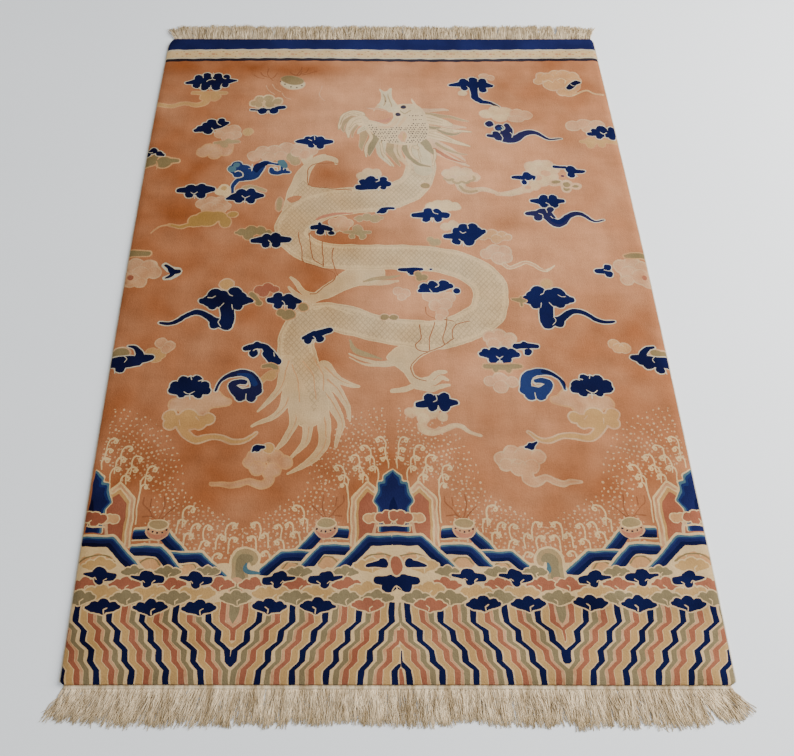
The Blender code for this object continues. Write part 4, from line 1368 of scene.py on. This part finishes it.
def to_chart(places):
    """Places in metres from the pile's middle as chart millimetres."""
    return np.stack([CHART_WIDTH / 2 + places[:, 0] * 1000, CHART_LENGTH / 2 - places[:, 1] * 1000], 1)


def from_chart(points):
    """Chart millimetres as places in metres from the pile's middle."""
    return np.stack([points[:, 0] - CHART_WIDTH / 2, CHART_LENGTH / 2 - points[:, 1]], 1) / 1000


def rim_loop(step):
    """The pile's outline, once round, with a point every step metres."""
    columns = np.linspace(-1, 1, round(PILE_WIDTH / step), endpoint=False) * PILE_WIDTH / 2
    rows = np.linspace(-1, 1, round(PILE_LENGTH / step), endpoint=False) * PILE_LENGTH / 2
    corners = [(x, -PILE_LENGTH / 2) for x in columns] + [(PILE_WIDTH / 2, y) for y in rows]
    corners += [(-x, PILE_LENGTH / 2) for x in columns] + [(-PILE_WIDTH / 2, -y) for y in rows]
    return np.array([pile_place(x, y) for x, y in corners])


rim = to_chart(rim_loop(RIM_STEP))


def rim_distance(points):
    """How far chart places lie inside the rim, up to RIM_FAR."""
    distance = np.full(len(points), RIM_FAR)
    far_corner = (CHART_WIDTH - RIM_BELT[0], CHART_LENGTH - RIM_BELT[0])
    inner = (points > RIM_BELT).all(1) & (points < far_corner).all(1)
    start, step = rim, np.roll(rim, -1, axis=0) - rim
    for part in np.array_split(np.flatnonzero(~inner), 40):
        off = points[part][:, None] - start
        along = np.clip((off * step).sum(2) / (step * step).sum(1), 0, 1)
        away = np.linalg.norm(off - step * along[..., None], axis=2)
        distance[part] = np.minimum(away.min(1), RIM_FAR)
    return distance


def pile_height(points, is_border):
    """Height of the pile over chart places: rolled at the rim and carved along borders."""
    places = from_chart(points)
    uneven = np.array([noise.noise(Vector((x * 4, y * 4, 3.1))) for x, y in places])
    tufts = np.array([noise.noise(Vector((x * 60, y * 60, 8.7))) for x, y in places])
    roll = np.maximum(0, 1 - rim_distance(points) / (RIM_ROLL * 1000))
    height = PILE_HEIGHT + TOP_WANDER * uneven + PILE_TUFTS * tufts - RIM_DROP * roll**2
    return height - CARVED * is_border


print("rim points:", len(rim))

# %% Knotting the pile
FACE_STEP, BACK_STEP = 16.0, 26.0
FILL_SEED = 7
FILL_CLEAR, RING_CLEAR = 5.0, 1.5
BACK_BEND, BACK_LONGEST = 1.5, 24.0
BACK_HELD = 30.0
# Rings of points inside the rim: distance, and one point kept out of so many
RIM_RINGS = ((3.0, 2), (8.0, 2), (15.0, 3))


def crowded(points, others, cell):
    """Which points have another one in their own or a neighbouring cell."""
    def key(cells):
        return cells[:, 0] * 100_000 + cells[:, 1]
    taken = np.unique(key(np.round(others / cell).astype(int)))
    own = np.round(points / cell).astype(int)
    near = np.zeros(len(points), bool)
    for step in np.ndindex(3, 3):
        near |= np.isin(key(own + np.array(step) - 1), taken)
    return near


def filling(border_points, step, chance):
    """Loose points between the borders, so that the pile can roll and its dyes shade."""
    rings = [grown(rim, -inset)[::every] for inset, every in RIM_RINGS]
    x = np.arange(step, CHART_WIDTH, step)
    y = np.arange(step, CHART_LENGTH, step)
    grid = np.stack(np.meshgrid(x, y), -1).reshape(-1, 2)
    grid = grid + chance.uniform(-0.3, 0.3, grid.shape) * step
    ring_points = np.concatenate(rings)
    grid = grid[~crowded(grid, np.concatenate([border_points, ring_points]), FILL_CLEAR)]
    ring_points = ring_points[~crowded(ring_points, border_points, RING_CLEAR)]
    return np.concatenate([ring_points, grid])


def sheet(border_points, border_lines, step):
    """One side of the pile: its points, its triangles and the dye of each triangle."""
    loop = np.arange(len(rim))
    kept = border_lines[covers(rim, border_points)[border_lines].any(1)]
    loose = filling(border_points, step, np.random.default_rng(FILL_SEED))
    points = np.concatenate([rim, border_points, loose])
    lines = np.concatenate([np.stack([loop, np.roll(loop, -1)], 1), kept + len(rim)])
    surface, triangles = triangulated(points, lines)
    triangles = triangles[covers(rim, surface[triangles].mean(1))]
    dyes = dye_at(surface[triangles].mean(1), shapes)
    used, triangles = np.unique(triangles, return_inverse=True)
    return surface[used], triangles.reshape(-1, 3), dyes


surface, triangles, triangle_dyes = sheet(border_points, border_lines, FACE_STEP)
edges, one, other = both_ways(triangles)
is_border = np.zeros(len(surface), bool)
is_border[edges[(other >= 0) & (triangle_dyes[one] != triangle_dyes[other])]] = True
print(len(triangles), "triangles on the face of the pile")

# %% [markdown]
# The back lies on the floor, so its borders are thinned further, but not close to the
# rim: there the back has to have the very same points as the face.

# %% Knotting the back
near_rim = rim_distance(border_points) < BACK_HELD
back_borders = without_needless(border_points, border_lines, BACK_BEND, BACK_LONGEST, near_rim)
back_surface, back_triangles, back_dyes = sheet(*back_borders, BACK_STEP)
print(len(back_triangles), "triangles on the back")

# %% [markdown]
# The face is closed into one slab: it turns down over the rim and its back is the same
# design, for a knotted rug shows its pattern on both sides. Every corner of a triangle
# holds its dye's colour at that place, worn as much as the rug is there.

# %% Closing the slab
BULGE = 0.0005
# How far the pale dyes have been rubbed down to the tone of the field around them
RUBBED = {"blush": 0.34, "haze": 0.26, "pearl": 0.22, "sand": 0.22, "tan": 0.12, "sage": 0.16,
          "olive": 0.06, "bone": 0.04, "beige": 0.05, "scaly": 0.05, "umber": 0.2}
RUBBED_UNEVEN, RUBBED_MOST = 1.6, 0.8
SHARP_ANGLE = math.radians(50)


def rim_edges(faces):
    """Edges with one face, in the direction that face runs, and the face's number."""
    sides = np.concatenate([faces[:, [0, 1]], faces[:, [1, 2]], faces[:, [2, 0]]])
    owner = np.tile(np.arange(len(faces)), 3)
    index, count = np.unique(np.sort(sides, axis=1), axis=0, return_index=True, return_counts=True)[1:]
    return sides[index[count == 1]], owner[index[count == 1]]


flat = from_chart(surface)
face_up = triangles[:, ::-1]
edge, edge_face = rim_edges(face_up)
start, stop = edge.T
run = np.zeros_like(flat)
np.add.at(run, start, flat[stop] - flat[start])
np.add.at(run, stop, flat[stop] - flat[start])
outward = np.stack([run[:, 1], -run[:, 0]], 1) / np.maximum(np.linalg.norm(run, axis=1), 1e-9)[:, None]
heights = pile_height(surface, is_border)
size, back_size = len(surface), len(back_surface)

# Every point of the face's rim has its partner on the back's rim
flat_back = from_chart(back_surface)
rim_of_back = np.unique(rim_edges(back_triangles)[0])
nearby = KDTree(len(rim_of_back))
for number in rim_of_back:
    nearby.insert((*flat_back[number], 0), int(number))
nearby.balance()
partner = np.full(size, -1)
for number in start:
    partner[number] = nearby.find((*flat[number], 0))[1]
gap = np.linalg.norm(flat_back[partner[start]] - flat[start], axis=1).max() * 1000
print("rim points:", len(start), "and", len(rim_of_back), "- furthest apart", round(gap, 4), "mm")
flat_back[partner[start]] = flat[start]

ring = np.full(size, -1)
ring[start] = size + back_size + np.arange(len(start))
places = np.concatenate([
    np.column_stack([flat, heights]),
    np.column_stack([flat_back, np.zeros(back_size)]),
    np.column_stack([flat + outward * BULGE, heights * 0.5])[start],
])
low_start, low_stop = partner[start] + size, partner[stop] + size
walls = [(stop, start, ring[start]), (stop, ring[start], ring[stop]),
         (ring[stop], ring[start], low_start), (ring[stop], low_start, low_stop)]
faces = np.concatenate([face_up, back_triangles + size, *[np.stack(wall, 1) for wall in walls]])
face_dyes = np.concatenate([triangle_dyes, back_dyes, *[triangle_dyes[edge_face]] * 4])

# A flat layout for baking: the face with its walls turned out, and the back beside it
FACE_SHARE, FACE_MIDDLE = 0.60 / 1.36, (0.31, 0.45)
BACK_SHARE, BACK_MIDDLE = 0.36 / 1.36, (0.81, 0.30)
WALL_REACH = 0.012
turned_out = flat + outward * WALL_REACH
layout = np.concatenate([flat, flat_back, (flat + outward * (WALL_REACH / 2))[start]])
corner_places = layout[faces] * FACE_SHARE + FACE_MIDDLE
is_back = np.zeros(len(faces), bool)
is_back[len(face_up):len(face_up) + len(back_triangles)] = True
corner_places[is_back] = layout[faces[is_back]] * BACK_SHARE + BACK_MIDDLE
is_wall = np.arange(len(faces)) >= len(face_up) + len(back_triangles)
low_corner = is_wall[:, None] & (faces >= size) & (faces < size + back_size)
face_partner = np.zeros(back_size, int)
face_partner[partner[start]] = start
low_places = turned_out[face_partner[faces[low_corner] - size]]
corner_places[low_corner] = low_places * FACE_SHARE + FACE_MIDDLE
pile_origin = (pile_middle.x, pile_middle.y, 0.0)


def mesh_of(name, points, polygons):
    """A smooth mesh object from points measured from the pile's middle."""
    mesh = bpy.data.meshes.new(name)
    mesh.from_pydata((np.asarray(points) + pile_origin).tolist(), [], polygons)
    mesh.shade_smooth()
    return new_object(name, mesh)


pile = mesh_of("woven_pile", places, faces.tolist())
layout_map = pile.data.uv_layers.new(name="OFBake")
layout_map.data.foreach_set("uv", corner_places.reshape(-1).astype(np.float32))
chart_places = to_chart(places[:, :2])
wear = wear_at(*chart_places.T)[faces][..., None]
fresh, faded = fresh_dyes[face_dyes][:, None], faded_dyes[face_dyes][:, None]
dyed = fresh + (faded - fresh) * wear
field = fresh_dyes[0] + (faded_dyes[0] - fresh_dyes[0]) * wear
blotches = np.array([noise.noise(Vector((x / 26, y / 22, 2.2))) for x, y in chart_places])
blotches = blotches[faces][..., None]
rubbed = np.array([RUBBED.get(name, 0.0) for name in dye_names])[face_dyes][:, None, None]
dyed += (field - dyed) * np.clip(rubbed * (1 + RUBBED_UNEVEN * blotches), 0, RUBBED_MOST)
lattice = (face_dyes == dye_names.index("scaly"))[:, None, None] * np.ones((1, 3, 1))
corner_colors = np.concatenate([dyed, lattice], 2)
dye_colors = pile.data.color_attributes.new("dye", "FLOAT_COLOR", "CORNER")
dye_colors.data.foreach_set("color", corner_colors.reshape(-1).astype(np.float32))
pile.data.set_sharp_from_angle(angle=SHARP_ANGLE)
print(len(faces), "triangles in the pile")

# %% [markdown]
# The pile is hand-spun wool, matt and soft. Its shader adds what no chart holds: rows
# dyed in slightly different baths, single knots that caught more or less dye, the
# stippled lattice of the dragon's scales, and the little heads of the knots as bumps.

# %% A small language for shaders
class Wire:
    """A shader value: sums and products of wires, or of wires and numbers, make nodes."""

    def __init__(self, tree, socket=None):
        self.tree, self.socket = tree, socket

    def node(self, kind, settings=None, sockets=None, output=0):
        """Adds a node: its settings first, then values or links for its sockets."""
        made = self.tree.nodes.new(kind)
        for name, value in (settings or {}).items():
            setattr(made, name, value)
        for name, value in (sockets or {}).items():
            if isinstance(value, Wire):
                self.tree.links.new(value.socket, made.inputs[name])
            else:
                made.inputs[name].default_value = value
        return Wire(self.tree, made.outputs[output])

    def math(self, operation, *values):
        return self.node("ShaderNodeMath", {"operation": operation}, dict(enumerate(values)))

    def __add__(self, other):
        return self.math("ADD", self, other)

    def __sub__(self, other):
        return self.math("SUBTRACT", self, other)

    def __rsub__(self, other):
        return self.math("SUBTRACT", other, self)

    def __mul__(self, other):
        return self.math("MULTIPLY", self, other)

    __radd__, __rmul__ = __add__, __mul__


def new_material(name, **constants):
    """A material, a first wire in its tree, its shader, and constants set on the shader."""
    material = bpy.data.materials.new(name)
    material.use_nodes = True
    shader = material.node_tree.nodes["Principled BSDF"]
    for socket, value in constants.items():
        shader.inputs[socket.replace("_", " ")].default_value = value
    return material, Wire(material.node_tree), shader


def noise_of(wire, place, scale, detail=2.0, stretch=(1, 1, 1)):
    """Smooth noise about zero, from -0.5 to 0.5, over stretched object places."""
    stretched = wire.node("ShaderNodeVectorMath", {"operation": "MULTIPLY"}, {0: place, 1: stretch})
    sockets = {"Vector": stretched, "Scale": scale, "Detail": detail}
    return wire.node("ShaderNodeTexNoise", {}, sockets) - 0.5


def times(wire, color, factor):
    """A colour made lighter or darker by a factor."""
    return wire.node("ShaderNodeVectorMath", {"operation": "SCALE"}, {0: color, "Scale": factor})


def between(wire, share, one, other):
    """A mix of two colours, by how much of the other one is in it."""
    one, other = [color if isinstance(color, Wire) else (*color, 1) for color in (one, other)]
    return wire.node("ShaderNodeMix", {"data_type": "RGBA"}, {0: share, 6: one, 7: other}, output=2)


def finish_shader(material, wire, shader, color, height, distance, strength=1.0):
    """Links a colour and a bump height to the material's shader."""
    bump = wire.node("ShaderNodeBump", {}, {"Height": height, "Distance": distance, "Strength": strength})
    material.node_tree.links.new(color.socket, shader.inputs["Base Color"])
    material.node_tree.links.new(bump.socket, shader.inputs["Normal"])


# %% Wool with the dyes of the chart
KNOT_CELL = (0.0036, 0.0031, 1.0)
# The lattice of the scales: its lines' slope, distance and width
SCALE_SLOPE, SCALE_PITCH, SCALE_LINE = 0.8, 0.0066, 0.0016
wool, wire, shader = new_material("knotted_wool", Roughness=0.97, Specular_IOR_Level=0.02)
place = wire.node("ShaderNodeTexCoord", output="Object")
dye = wire.node("ShaderNodeVertexColor", {"layer_name": "dye"})
scaly = wire.node("ShaderNodeVertexColor", {"layer_name": "dye"}, output="Alpha")
axes = {name: wire.node("ShaderNodeSeparateXYZ", {}, {"Vector": place}, output=name) for name in "XYZ"}
baths = noise_of(wire, place, 1.0, 4.0, (3.0, 30.0, 1.0))
clouds = noise_of(wire, place, 12.0, 6.0)
streaks = noise_of(wire, place, 1.0, 4.0, (34.0, 3.5, 1.0))
rows = noise_of(wire, place, 1.0, 2.0, (40.0, 300.0, 1.0))
cell = wire.node("ShaderNodeVectorMath", {"operation": "SNAP"}, {0: place, 1: KNOT_CELL})
knots = wire.node("ShaderNodeTexWhiteNoise", {}, {"Vector": cell}) - 0.5
slope = axes["Y"] * SCALE_SLOPE
lattice = wire.math("PINGPONG", axes["X"] + slope, SCALE_PITCH)
lattice_back = wire.math("PINGPONG", axes["X"] - slope, SCALE_PITCH)
is_line = wire.math("LESS_THAN", wire.math("MINIMUM", lattice, lattice_back), SCALE_LINE) * scaly
shade = 1.0 + baths * 0.30 + clouds * 0.44 + streaks * 0.26 + rows * 0.10 + knots * 0.10
shade = shade - is_line * 0.20
heads = wire.node("ShaderNodeTexVoronoi", {"feature": "F1"}, {"Vector": place, "Scale": 300.0})
fuzz = noise_of(wire, place, 900.0, 3.0)
finish_shader(wool, wire, shader, times(wire, dye, shade), fuzz - heads * 0.8, 0.0008, 0.7)
pile.data.materials.append(wool)
print("wool shader nodes:", len(wool.node_tree.nodes))

# %% [markdown]
# Each side is bound with cotton yarn wrapped round the outermost warps, so it looks like
# a thin twisted cord. Both ends have a narrow strip of plain weave that locks the last
# row of knots; beyond it the warps hang free as the fringe.

# %% The wrapped selvedges
CORD_RADIUS = 0.0023
CORD_CLEAR = 0.0028
WRAP_PITCH = 0.0034
WRAP_DEPTH = 0.00022
CORD_STEP = 0.0011
CORD_SIDES = 8
# Cords lie this little above the floor, so that the two don't touch
CORD_LIFT = 0.0002


def even_steps(path, step):
    """A path walked again in even steps."""
    path = np.asarray(path)
    along = np.r_[0, np.cumsum(np.linalg.norm(np.diff(path, axis=0), axis=1))]
    places = np.linspace(0, along[-1], round(along[-1] / step))
    return np.stack([np.interp(places, along, column) for column in path.T], 1)


def tube_faces(rows, sides):
    """Quads of a tube and its two end caps, for rings of points one after another."""
    index = np.arange(rows * sides).reshape(rows, sides)
    after = np.roll(index, -1, axis=1)
    walls = np.stack([index[:-1], after[:-1], after[1:], index[1:]], -1).reshape(-1, 4)
    return walls.tolist() + [index[0, ::-1].tolist(), index[-1].tolist()]


def selvedge(name, side, near_y, far_y):
    """A cord wrapped with yarn, along one side of the pile."""
    rows = np.linspace(near_y, far_y, 400)
    edge_line = [pile_place(side * PILE_WIDTH / 2, y) for y in rows]
    path = even_steps(edge_line, CORD_STEP)
    turn = np.arange(CORD_SIDES) * math.tau / CORD_SIDES
    wrap = np.arange(len(path))[:, None] * CORD_STEP / WRAP_PITCH * math.tau
    reach = CORD_RADIUS - WRAP_DEPTH * (1 + np.cos(wrap - turn))
    across = path[:, :1] + side * CORD_CLEAR + reach * np.cos(turn)
    up = CORD_RADIUS + CORD_LIFT + reach * np.sin(turn)
    along = np.repeat(path[:, 1:], CORD_SIDES, axis=1)
    points = np.stack([across, along, up], -1)[:, ::-1].reshape(-1, 3)
    return mesh_of(name, points, tube_faces(len(path), CORD_SIDES))


cords = [selvedge("selvedge_cord_left", -1, -0.9395, 0.9295),
         selvedge("selvedge_cord_right", 1, -0.9395, 0.9375)]
print("points in a selvedge:", len(cords[0].data.vertices))

# %% The woven strips
WEB_STEP = 0.0026
WEB_ROWS = 4
WEB_CLEAR = 0.0003
WEB_THICK, WEB_OVER = 0.0022, 0.0009


def web(name, side, start_x, end_x, depth):
    """A narrow strip of plain weave along one end: each crossing goes over or under."""
    x = np.arange(start_x, end_x, WEB_STEP)
    edge_y = np.array([pile_place(place, side * PILE_LENGTH / 2)[1] for place in x])
    out = np.linspace(WEB_CLEAR, depth, WEB_ROWS)
    across, outwards = np.meshgrid(x, out, indexing="ij")
    over = (np.add.outer(np.arange(len(x)), np.arange(WEB_ROWS)) % 2) * WEB_OVER
    top = np.stack([across, edge_y[:, None] + side * outwards, WEB_THICK + over], -1)
    low = top * (1, 1, 0)
    count = len(x) * WEB_ROWS
    index = np.arange(count).reshape(len(x), WEB_ROWS)
    quads = np.stack([index[:-1, :-1], index[1:, :-1], index[1:, 1:], index[:-1, 1:]], -1).reshape(-1, 4)
    rim_run = np.concatenate([index[:, 0], index[-1, 1:], index[-2::-1, -1], index[0, -2:0:-1]])
    after = np.roll(rim_run, -1)
    sides = np.stack([after, rim_run, rim_run + count, after + count], -1)
    if side < 0:
        quads, sides = quads[:, ::-1], sides[:, ::-1]
    polygons = np.concatenate([quads, quads[:, ::-1] + count, sides])
    return mesh_of(name, np.concatenate([top.reshape(-1, 3), low.reshape(-1, 3)]), polygons.tolist())


webs = [web("woven_strip_near", -1, -0.644, 0.644, 0.008),
        web("woven_strip_far", 1, -0.636, 0.644, 0.006)]
print("points in a woven strip:", len(webs[0].data.vertices))

# %% [markdown]
# The fringe is the warp itself: fine cotton strands, a few millimetres apart, that lean
# together in tufts, cross over each other and curl at their ends. A strand is a thin
# three-sided tube, and all strands of an end are one mesh made from arrays.

# %% The fringes
# Lean in degrees and reach in metres are given at shares of the way across the rug
NEAR_FRINGE = {
    "side": -1, "depth": 0.0075, "seed": 11, "start": -0.645, "end": 0.645,
    "across": (0.00, 0.06, 0.16, 0.28, 0.42, 0.55, 0.60, 0.66, 0.78, 0.90, 0.96, 1.00),
    "lean": (-28, -26, -20, -10, -2, 1, 4, 5, 6, 12, 27, 41),
    "reach": (0.068, 0.074, 0.075, 0.072, 0.066, 0.072, 0.064, 0.073, 0.072, 0.076, 0.074, 0.062),
    "layers": 0.0045,
}
FAR_FRINGE = {
    "side": 1, "depth": 0.0055, "seed": 23, "start": -0.637, "end": 0.645,
    "across": (0.00, 0.04, 0.12, 0.30, 0.50, 0.70, 0.88, 0.96, 1.00),
    "lean": (-22, -12, -4, -1, 0, 2, 4, 10, 18),
    "reach": (0.062, 0.066, 0.070, 0.066, 0.069, 0.065, 0.070, 0.066, 0.060),
    "layers": 0.0095,
}
STRANDS = 3000
STRAND_ROWS = 9
STRAND_SIDES = 3
STRAND_THICK = 0.00092
STRAND_LEAN, STRAND_REACH = 5, (0.80, 1.02)
# Neighbouring strands make tufts, which lean and reach each in its own way
TUFT_WIDTH = 0.011
TUFT_LEAN, TUFT_REACH = 4.5, (0.93, 1.03)
# How far slow waves along the fringe push the strands aside, and how much they curl
LOCK_SWAY = 0.0045
CURL_SPREAD, CURL_SWAY, CURL_TURNS = 0.0023, 0.0020, (0.7, 2.1)
STRAND_LIFT, STRAND_LOWEST = 0.0006, 0.0001


def waves_along(places, seed, periods):
    """Sums of slow sines along the fringe, from about -1 to 1."""
    total = np.zeros_like(places)
    for number, period in enumerate(periods):
        total += np.sin(places / period * math.tau + seed * (1.3 + number))
    return total / len(periods)


def fringe(name, facts):
    """All strands along one end, as one mesh."""
    chance = np.random.default_rng(facts["seed"])
    share = np.sort(chance.uniform(0, 1, STRANDS))
    root_x = facts["start"] + share * (facts["end"] - facts["start"])
    root_y = np.array([pile_place(x, facts["side"] * PILE_LENGTH / 2)[1] for x in root_x])
    root_y += facts["side"] * facts["depth"] * 0.8
    tuft = np.int64((root_x - facts["start"]) / TUFT_WIDTH + chance.uniform(0, 0.6, STRANDS))
    tuft_lean = chance.normal(0, TUFT_LEAN, tuft.max() + 1)
    tuft_reach = chance.uniform(*TUFT_REACH, tuft.max() + 1)
    lean = np.interp(share, facts["across"], facts["lean"]) + tuft_lean[tuft]
    lean = np.radians(lean + chance.normal(0, STRAND_LEAN, STRANDS))
    reach = np.interp(share, facts["across"], facts["reach"]) * tuft_reach[tuft]
    reach = reach * chance.uniform(*STRAND_REACH, STRANDS)
    reach *= 1 + 0.06 * waves_along(root_x, facts["seed"], (0.031, 0.083))
    part = np.linspace(0, 1, STRAND_ROWS)
    lock = LOCK_SWAY * waves_along(root_x, facts["seed"], (0.021, 0.0465, 0.11))
    sideways = np.outer(reach * np.sin(lean) + lock, part**1.25)
    curl_size = chance.normal(0, CURL_SPREAD, STRANDS)
    curl_size = curl_size + CURL_SWAY * waves_along(root_x, facts["seed"] + 2, (0.052, 0.13))
    turns = chance.uniform(*CURL_TURNS, STRANDS)
    sideways += curl_size[:, None] * np.sin(math.tau * np.outer(turns, part))
    outwards = facts["side"] * np.outer(reach * np.cos(lean), part)
    layer = chance.uniform(0, 1, STRANDS)[:, None] * facts["layers"]
    rise = STRAND_LIFT + layer * np.minimum(1, 0.3 + part * 1.5) * (1 - 0.6 * part**3)
    middle = np.stack([root_x[:, None] + sideways, root_y[:, None] + outwards, rise], -1)
    along = np.gradient(middle, axis=1)
    across = np.stack([along[..., 1], -along[..., 0], 0 * along[..., 0]], -1)
    across /= np.linalg.norm(across, axis=-1, keepdims=True)
    thick = STRAND_THICK * chance.uniform(0.75, 1.25, STRANDS)[:, None] * (1 - 0.25 * part**2)
    angle = np.arange(STRAND_SIDES) * math.tau / STRAND_SIDES
    flattened = np.array((0, 0, 0.6))
    off = across[:, :, None] * np.cos(angle)[:, None] + flattened * np.sin(angle)[:, None]
    points = middle[:, :, None] + thick[..., None, None] * off
    points[..., 2] = np.maximum(points[..., 2], STRAND_LOWEST)
    tube = tube_faces(STRAND_ROWS, STRAND_SIDES)
    starts = range(0, STRANDS * STRAND_ROWS * STRAND_SIDES, STRAND_ROWS * STRAND_SIDES)
    polygons = [[corner + start for corner in face] for start in starts for face in tube]
    return mesh_of(name, points.reshape(-1, 3), polygons)


fringes = [fringe("fringe_strands_near", NEAR_FRINGE), fringe("fringe_strands_far", FAR_FRINGE)]
print("points in a fringe:", len(fringes[0].data.vertices))

# %% [markdown]
# Cotton stays matt, and each strand has caught its own share of dirt. The tips are the
# most golden part. The floor needs only a faint unevenness, so that it isn't dead flat.

# %% Cotton and floor
# Distance from the rug's middle where the tips begin, their rise per metre, and the most
TIP_START, TIP_RISE, TIP_MOST = 0.978, 14.0, 0.5
cotton, wire, shader = new_material("fringe_cotton", Roughness=0.92, Specular_IOR_Level=0.15)
place = wire.node("ShaderNodeTexCoord", output="Object")
tone = noise_of(wire, place, 26.0, 2.0, (1, 0.2, 1))
tufts = noise_of(wire, place, 110.0, 2.0, (1, 0.22, 1))
fine = noise_of(wire, place, 420.0, 2.0, (1, 0.25, 1))
clean = 0.5 + tone * 1.2 + tufts * 2.4 + fine * 1.0
mixed = between(wire, clean, (0.42, 0.30, 0.165), (0.92, 0.74, 0.49))
outwards = wire.node("ShaderNodeSeparateXYZ", {}, {"Vector": place}, output="Y")
tips = (wire.math("ABSOLUTE", outwards) - TIP_START) * TIP_RISE
mixed = between(wire, wire.math("MINIMUM", tips, TIP_MOST), mixed, (0.62, 0.46, 0.24))
finish_shader(cotton, wire, shader, mixed, fine, 0.0004, 0.4)
ivory, wire, shader = new_material("selvedge_cotton", Roughness=0.92, Specular_IOR_Level=0.15)
place = wire.node("ShaderNodeTexCoord", output="Object")
tone = noise_of(wire, place, 30.0, 3.0)
mixed = between(wire, 0.5 + tone * 1.6, (0.52, 0.44, 0.32), (0.74, 0.68, 0.56))
finish_shader(ivory, wire, shader, mixed, noise_of(wire, place, 500.0), 0.0003, 0.4)
floor_paint, wire, shader = new_material("pale_floor", Roughness=0.6)
place = wire.node("ShaderNodeTexCoord", output="Object")
tone = noise_of(wire, place, 2.0, 3.0)
mixed = between(wire, 0.5 + tone, (0.88, 0.90, 0.91), (0.94, 0.95, 0.96))
finish_shader(floor_paint, wire, shader, mixed, tone, 0.0002, 0.2)
for made in cords:
    made.data.materials.append(ivory)
for made in fringes + webs:
    made.data.materials.append(cotton)
floor.data.materials.append(floor_paint)
print("cotton shader nodes:", len(cotton.node_tree.nodes))

# %% [markdown]
# Last, every piece is tied to the measured rug: it rides on the root, and the measured
# piece it stands for is hidden.

# %% Tying the pieces to the measured rug
pairs = [(pile, "pile_body", "wool_pile"), (cords[0], "selvedge_left", "selvedge_cotton"),
         (cords[1], "selvedge_right", "selvedge_cotton"), (webs[0], "fringe_near", "fringe_cotton"),
         (fringes[0], "fringe_near", "fringe_cotton"), (webs[1], "fringe_far", "fringe_cotton"),
         (fringes[1], "fringe_far", "fringe_cotton")]
for piece, node, slot_name in pairs:
    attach(piece, "root")
    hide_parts(node)
